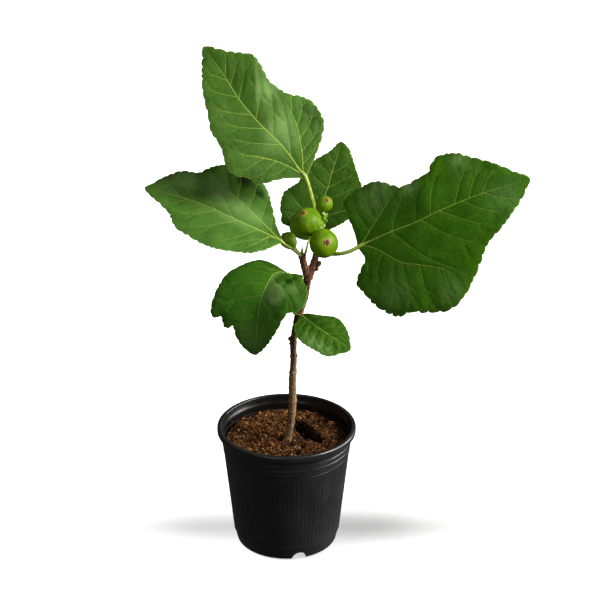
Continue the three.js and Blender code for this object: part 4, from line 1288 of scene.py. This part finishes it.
def leaf_stalk(leaf, surface):
    """The stalk, which runs on under the blade's first stretch, and where it has a brown blush."""
    last = leaf["stalk"][-1][3]
    first, second = surface([[5, 0], [16, 0]], np.array([-0.4, -0.5]))
    ends = [[*leaf["junction"], last * 0.92], [*first, last * 0.66], [*second, 0.5]]
    stations = np.array(leaf["stalk"] + ends, float)
    stations[0, 3] *= 1.25
    points, faces, share = tube(stations, 20, 70)
    blush = 0.1875 * np.exp(-(((share - 0.86) / 0.07) ** 2)) + 0.35 * np.exp(-((share / 0.05) ** 2))
    return points, faces, blush


def make_leaf(name, leaf, finish, stalk_finish, seed):
    """A leaf: a closed thin blade with raised ribs, and the stalk that carries it."""
    random = np.random.default_rng(seed)
    surface, length = blade_surface(leaf)
    edge = toothed_margin(leaf, random)
    veins = leaf_veins(leaf, random)
    flat, faces = blade_net(edge, veins, 1.2 + length * 0.003)
    depth, width, plain, gap = vein_field(flat, veins)
    rim, _ = nearest_on(flat, np.vstack([edge[::4], edge[:1]]))
    inward = np.clip(rim / 6, 0, 1)
    quilt = leaf["quilt"] * (1 - np.exp(-((gap / 4.5) ** 2))) * inward
    spread = lifted(flat, seed)
    ripple = RIPPLE_HEIGHT * noise(spread / 17, seed) * (1 - np.clip(rim / 22, 0, 1))
    ripple = ripple * np.clip(np.hypot(*flat.T) / 40, 0, 1)
    fine = FINE_HEIGHT * noise(spread / 3.5, seed + 1) * inward
    base = quilt + bell_sum(flat, leaf.get("swells", []), 3) + ripple + fine
    half = BLADE_THICKNESS / 2
    crest = np.sqrt(depth) * width
    order, beyond, strip = rounded_rim(flat, faces, half)
    top = surface(flat, half + base + RIB_RISE * crest)
    under = surface(flat, -half + base - RIB_DEPTH * crest)
    count = len(flat)
    every = np.vstack([flat, flat, beyond])
    # The value light holds painted light and shade: sheens, the shadows leaves cast on one another and the
    # light and shade across the painted creases. warmth, from the same patches, holds a yellower green and a
    # painted grey sheen.
    light = bell_sum(every, leaf["painted_light_and_tints"], 3) + painted_crease_light(every, leaf.get("painted_creases", []))
    light *= 1 + 0.15 * layered_noise(lifted(every / 6, 0), seed + 3)
    rib = np.maximum(depth * plain, 0.25 * np.clip(1 - rim / 0.8, 0, 1))
    blade = Shape()
    blade.add(
        np.vstack([top, under, surface(beyond, base[order])]),
        faces + [[count + i for i in reversed(face)] for face in faces] + strip,
        flat=lifted(every, 0), rib=np.concatenate([rib, depth * plain, np.full(len(order), 0.25)]),
        side=np.repeat([1, 0, 0.5], [count, count, len(order)]), light=np.clip(light, -1, 1),
        warmth=np.clip(bell_sum(every, leaf["painted_light_and_tints"], 4), -1, 1),
        blotch=np.clip(bell_sum(every, leaf.get("blotches", []), 3), 0, 1),
    )
    points, faces, blush = leaf_stalk(leaf, surface)
    blade.add(points, faces, slot=1, blush=blush)
    return blade.build(name + "_blade", [finish, stalk_finish])


# ---------------------------------------------------------------- figs


def fig_profile(radius, length):
    """The fig's outline from its neck to the hollow of its eye."""
    neck = length - radius
    profile = [(0, -neck)]
    for turn in np.linspace(0, math.pi, 57)[1:-1]:
        below = turn < math.pi / 2
        reach = neck if below else radius * 0.94
        narrow = 1 - 0.12 * math.cos(turn) if below else 1
        profile.append((radius * math.sin(turn) * narrow, -reach * math.cos(turn)))
    return profile + [(0, radius * 0.93)]


def eye_scales(random, top, size):
    """Small overlapping scales that stand round the eye in two rings, as (points, how deep in)."""
    scales = []
    rings = ((6, 0, 0.62, 0.1, 0.5, 0.15), (5, 0.5, 0.3, 0.45, 0.36, 0.9))
    for count, shift, reach, lift, scale_length, core in rings:
        for i in range(count):
            turn = 2 * math.pi * (i + shift) / count + random.normal(0, 0.12)
            long = size * scale_length * random.uniform(0.85, 1.15)
            body = ICO_POINTS * [long, size * 0.27, size * 0.13] * random.uniform(0.85, 1.15, (12, 1))
            body[:, 2] += 0.12 * size * (1 - (body[:, 0] / long) ** 2)
            at = np.array([math.cos(turn), math.sin(turn), 0]) * size * reach
            scales.append((body @ spin(turn) + (at + [0, 0, top + size * lift * 0.35]), core))
    return scales


def fig_stalk(fig, centre, direction):
    """The short stalk from the bough into the fig's neck, and where it has a brown blush."""
    end = centre - direction * (fig["length"] - fig["radius"]) * 0.9
    foot = np.array(fig["foot"], float)
    bend = (end + foot) / 2 - direction * FIG_STALK_RADIUS
    inside = end + (centre - end) * 0.2
    widths = FIG_STALK_RADIUS * np.array([1.25, 1.0, 1.15, 1.3])
    points, faces, share = tube(np.column_stack([[foot, bend, end, inside], widths]), 20, 30)
    return points, faces, 0.4 * np.exp(-((share / 0.12) ** 2))


def make_fig(name, fig, skin, eye, stalk_finish, seed):
    """A fig: its faintly ribbed body, the scales of its eye, and its stalk."""
    random = np.random.default_rng(seed)
    radius = fig["radius"]
    points, faces = turned(fig_profile(radius, fig["length"]), 120)
    turn = np.arctan2(points[:, 1], points[:, 0])
    height = points[:, 2] / radius
    wander = 0.5 * noise(lifted(circle(turn) * 2, height * 2), seed)
    ribs = 0.5 + 0.5 * np.cos(FIG_RIBS * turn + wander * 2)
    strength = np.clip(1 - height**2, 0, 1)
    points[:, :2] *= (1 + 0.006 * (ribs - 0.5) * strength + 0.016 * wander * strength)[:, None]
    axes, centre = basis(fig["eye"]), np.array(fig["centre"], float)
    spot = sum(np.exp(-((points - at) ** 2).sum(axis=1) / 0.9) for at in fig.get("spots", []))
    from_eye = np.hypot(*points[:, :2].T) / fig["eye_size"]
    ring = np.where(height > 0.5, 0.35 * np.exp(-((from_eye - 1.0) / 0.3) ** 2), 0)
    neck = np.clip((-height - 0.35) / 0.7, 0, 1) ** 1.5 * 0.75
    body = Shape()
    body.add(
        points @ axes + centre, faces, rib=ribs**3 * strength, neck=neck, spot=np.clip(spot, 0, 1), ring=ring,
        lift=fig.get("lift", 0),
    )
    for scale_points, core in eye_scales(random, radius * 0.925, fig["eye_size"]):
        body.add(scale_points @ axes + centre, ICO_FACES, slot=1, core=core)
    points, faces, blush = fig_stalk(fig, centre, axes[2])
    body.add(points, faces, slot=2, blush=blush)
    return body.build(name + "_fruit", [skin, eye, stalk_finish])


# ---------------------------------------------------------------- the plant


def dress(piece, slot, *nodes):
    """The piece rides on the plant and stands for these CAD nodes."""
    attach(piece, "root")
    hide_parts(*nodes)


# Each blade's dark and light greens. They were made lighter or darker leaf by leaf to match how bright each
# leaf looks, so they hold painted light and shade as well as the leaf's own green.
BLADE_GREENS = {
    "leaf_top": (srgb(44, 77, 19), srgb(63, 100, 31)),
    "leaf_left": (srgb(51, 88, 27), srgb(71, 112, 39)),
    "leaf_back": (srgb(45, 80, 20), srgb(61, 100, 26)),
    "leaf_right": (srgb(40, 84, 5), srgb(56, 104, 13)),
    "leaf_lower_left": (srgb(42, 88, 15), srgb(60, 110, 25)),
    "leaf_lower_right": (srgb(34, 72, 7), srgb(49, 90, 15)),
}

green_wood, stalk = green_wood_finish(), stalk_finish()
pot = make_pot(pot_finish())
dress(pot, "pot", "pot")
dress(make_soil(soil_finish(), white_bit_finish()), "soil", "soil")
dress(make_wood(bark_finish()), "bark", "trunk", "bough_left", "bough_right")
dress(make_shoot(green_wood), "green_wood", "shoot")
dress(make_bud(green_wood), "green_wood", "bud")
for number, (name, leaf) in enumerate(LEAVES.items()):
    dark, light = BLADE_GREENS[name]
    blade_finish = leaf_finish(name + "_green", dark, light)
    dress(make_leaf(name, leaf, blade_finish, stalk, 100 + 7 * number), "leaf", name)
fig_skin, fig_eye = fig_finish(), eye_finish()
for number, (name, fig) in enumerate(FIGS.items()):
    dress(make_fig(name, fig, fig_skin, fig_eye, stalk, 300 + 7 * number), "fig", name)

# ---------------------------------------------------------------- floor, lights and camera

# In metres. The floor has a painted glow, weaker near the pot and in a band to both sides of it, so the soft
# shadows of its lamps show only in that band.
FLOOR = {
    "half_side": 14, "gap": 0.0003, "shadow_middle": 0.022, "shadow_half_width": 0.065, "shadow_glow": 0.5,
    "glow_from": 0.08, "glow_to": 0.6, "near_glow": 0.12, "far_glow": 1.12,
}


def make_floor():
    """A white floor, lit by lamps round the pot, with a painted glow that grows away from the pot and from a
    band beside it, so that the lamps' shadows show only in that band.
    """
    mesh = bpy.data.meshes.new("floor")
    side = FLOOR["half_side"]
    corners = [(-side, -side, 0), (side, -side, 0), (side, side, 0), (-side, side, 0)]
    mesh.from_pydata(corners, [], [(0, 1, 2, 3)])
    floor = bpy.data.objects.new("floor", mesh)
    floor.location.z = -FLOOR["gap"]
    bpy.context.scene.collection.objects.link(floor)
    finish = Finish("floor_white", Roughness=0.9, Specular_IOR_Level=0.1)
    finish.join((0.86, 0.86, 0.86, 1), "Base Color")
    finish.join((1, 1, 1, 1), "Emission Color")
    place = finish.place()
    away = finish.node("VectorMath", {0: place}, "Value", operation="LENGTH")
    depth = finish.node("SeparateXYZ", {0: place}, "Y")
    # Painted glow: less near the pot and in a band beside it, where the lamps' shadows are left to show.
    beside = finish.maths("ABSOLUTE", finish.maths("SUBTRACT", depth, FLOOR["shadow_middle"]))
    painted_band_glow = finish.fit(beside, 0, FLOOR["shadow_half_width"], 0, FLOOR["shadow_glow"])
    painted_distance_glow = finish.fit(away, FLOOR["glow_from"], FLOOR["glow_to"], FLOOR["near_glow"], FLOOR["far_glow"])
    finish.join(finish.add(painted_band_glow, painted_distance_glow), "Emission Strength")
    mesh.materials.append(finish.material)
    floor.visible_diffuse = False
    floor.visible_glossy = False
    return floor


def linked_group(name, piece, state):
    """The objects that a lamp lights or that shade it: only the piece, or everything but the piece."""
    group = bpy.data.collections.new(name)
    group.objects.link(piece)
    group.collection_objects[0].light_linking.link_state = state
    return group


def make_light(name, location, target, size, power, lit, shading=None):
    """A soft lamp that lights the lit group, shaded by the shading group or by everything."""
    data = bpy.data.lights.new(name, "AREA")
    data.shape = "RECTANGLE"
    data.size, data.size_y = size
    data.energy = power
    lamp = bpy.data.objects.new(name, data)
    lamp.location = location
    lamp.rotation_euler = (Vector(target) - Vector(location)).to_track_quat("-Z", "Y").to_euler()
    lamp.light_linking.receiver_collection = lit
    if shading:
        lamp.light_linking.blocker_collection = shading
    bpy.context.scene.collection.objects.link(lamp)


floor = make_floor()
only_floor = linked_group("only the floor", floor, "INCLUDE")
not_floor = linked_group("not the floor", floor, "EXCLUDE")
only_pot = linked_group("only the pot", pot, "INCLUDE")
for name, location, target, size, power in [
    ("key", (2.02, -0.58, 1.66), (0, 0, 0.3), (0.9, 0.9), 104),
    ("side", (1.8, 0.35, 0.35), (0, 0, 0.15), (1.5, 0.6), 56),
    ("top", (0.1, -0.15, 1.6), (0.1, 0.02, 0), (3.2, 0.2), 4),
    ("front", (-0.8, -2.2, 1.6), (0, 0, 0.3), (1.2, 1.2), 11),
]:
    make_light(name, location, target, size, power, not_floor)
for name, side, power in (("floor_left", -1.7, 78), ("floor_right", 1.7, 50)):
    make_light(name, (side, -0.4, 2.3), (0, 0, 0), (2.8, 2.2), power, only_floor, only_pot)

world = bpy.data.worlds.new("studio")
world.use_nodes = True
world.node_tree.nodes["Background"].inputs["Color"].default_value = (1, 1, 1, 1)
world.node_tree.nodes["Background"].inputs["Strength"].default_value = 0.06
bpy.context.scene.world = world
bpy.context.scene.view_settings.view_transform = "Standard"

camera = bpy.data.objects.new("camera", bpy.data.cameras.new("camera"))
camera.data.lens = 180
camera.data.sensor_width = 36
camera.data.clip_end = 60
camera.location = (0.0165, -3.2469, 1.8810)
camera.rotation_euler = (math.radians(64.4), 0, 0)
bpy.context.scene.collection.objects.link(camera)
bpy.context.scene.camera = camera
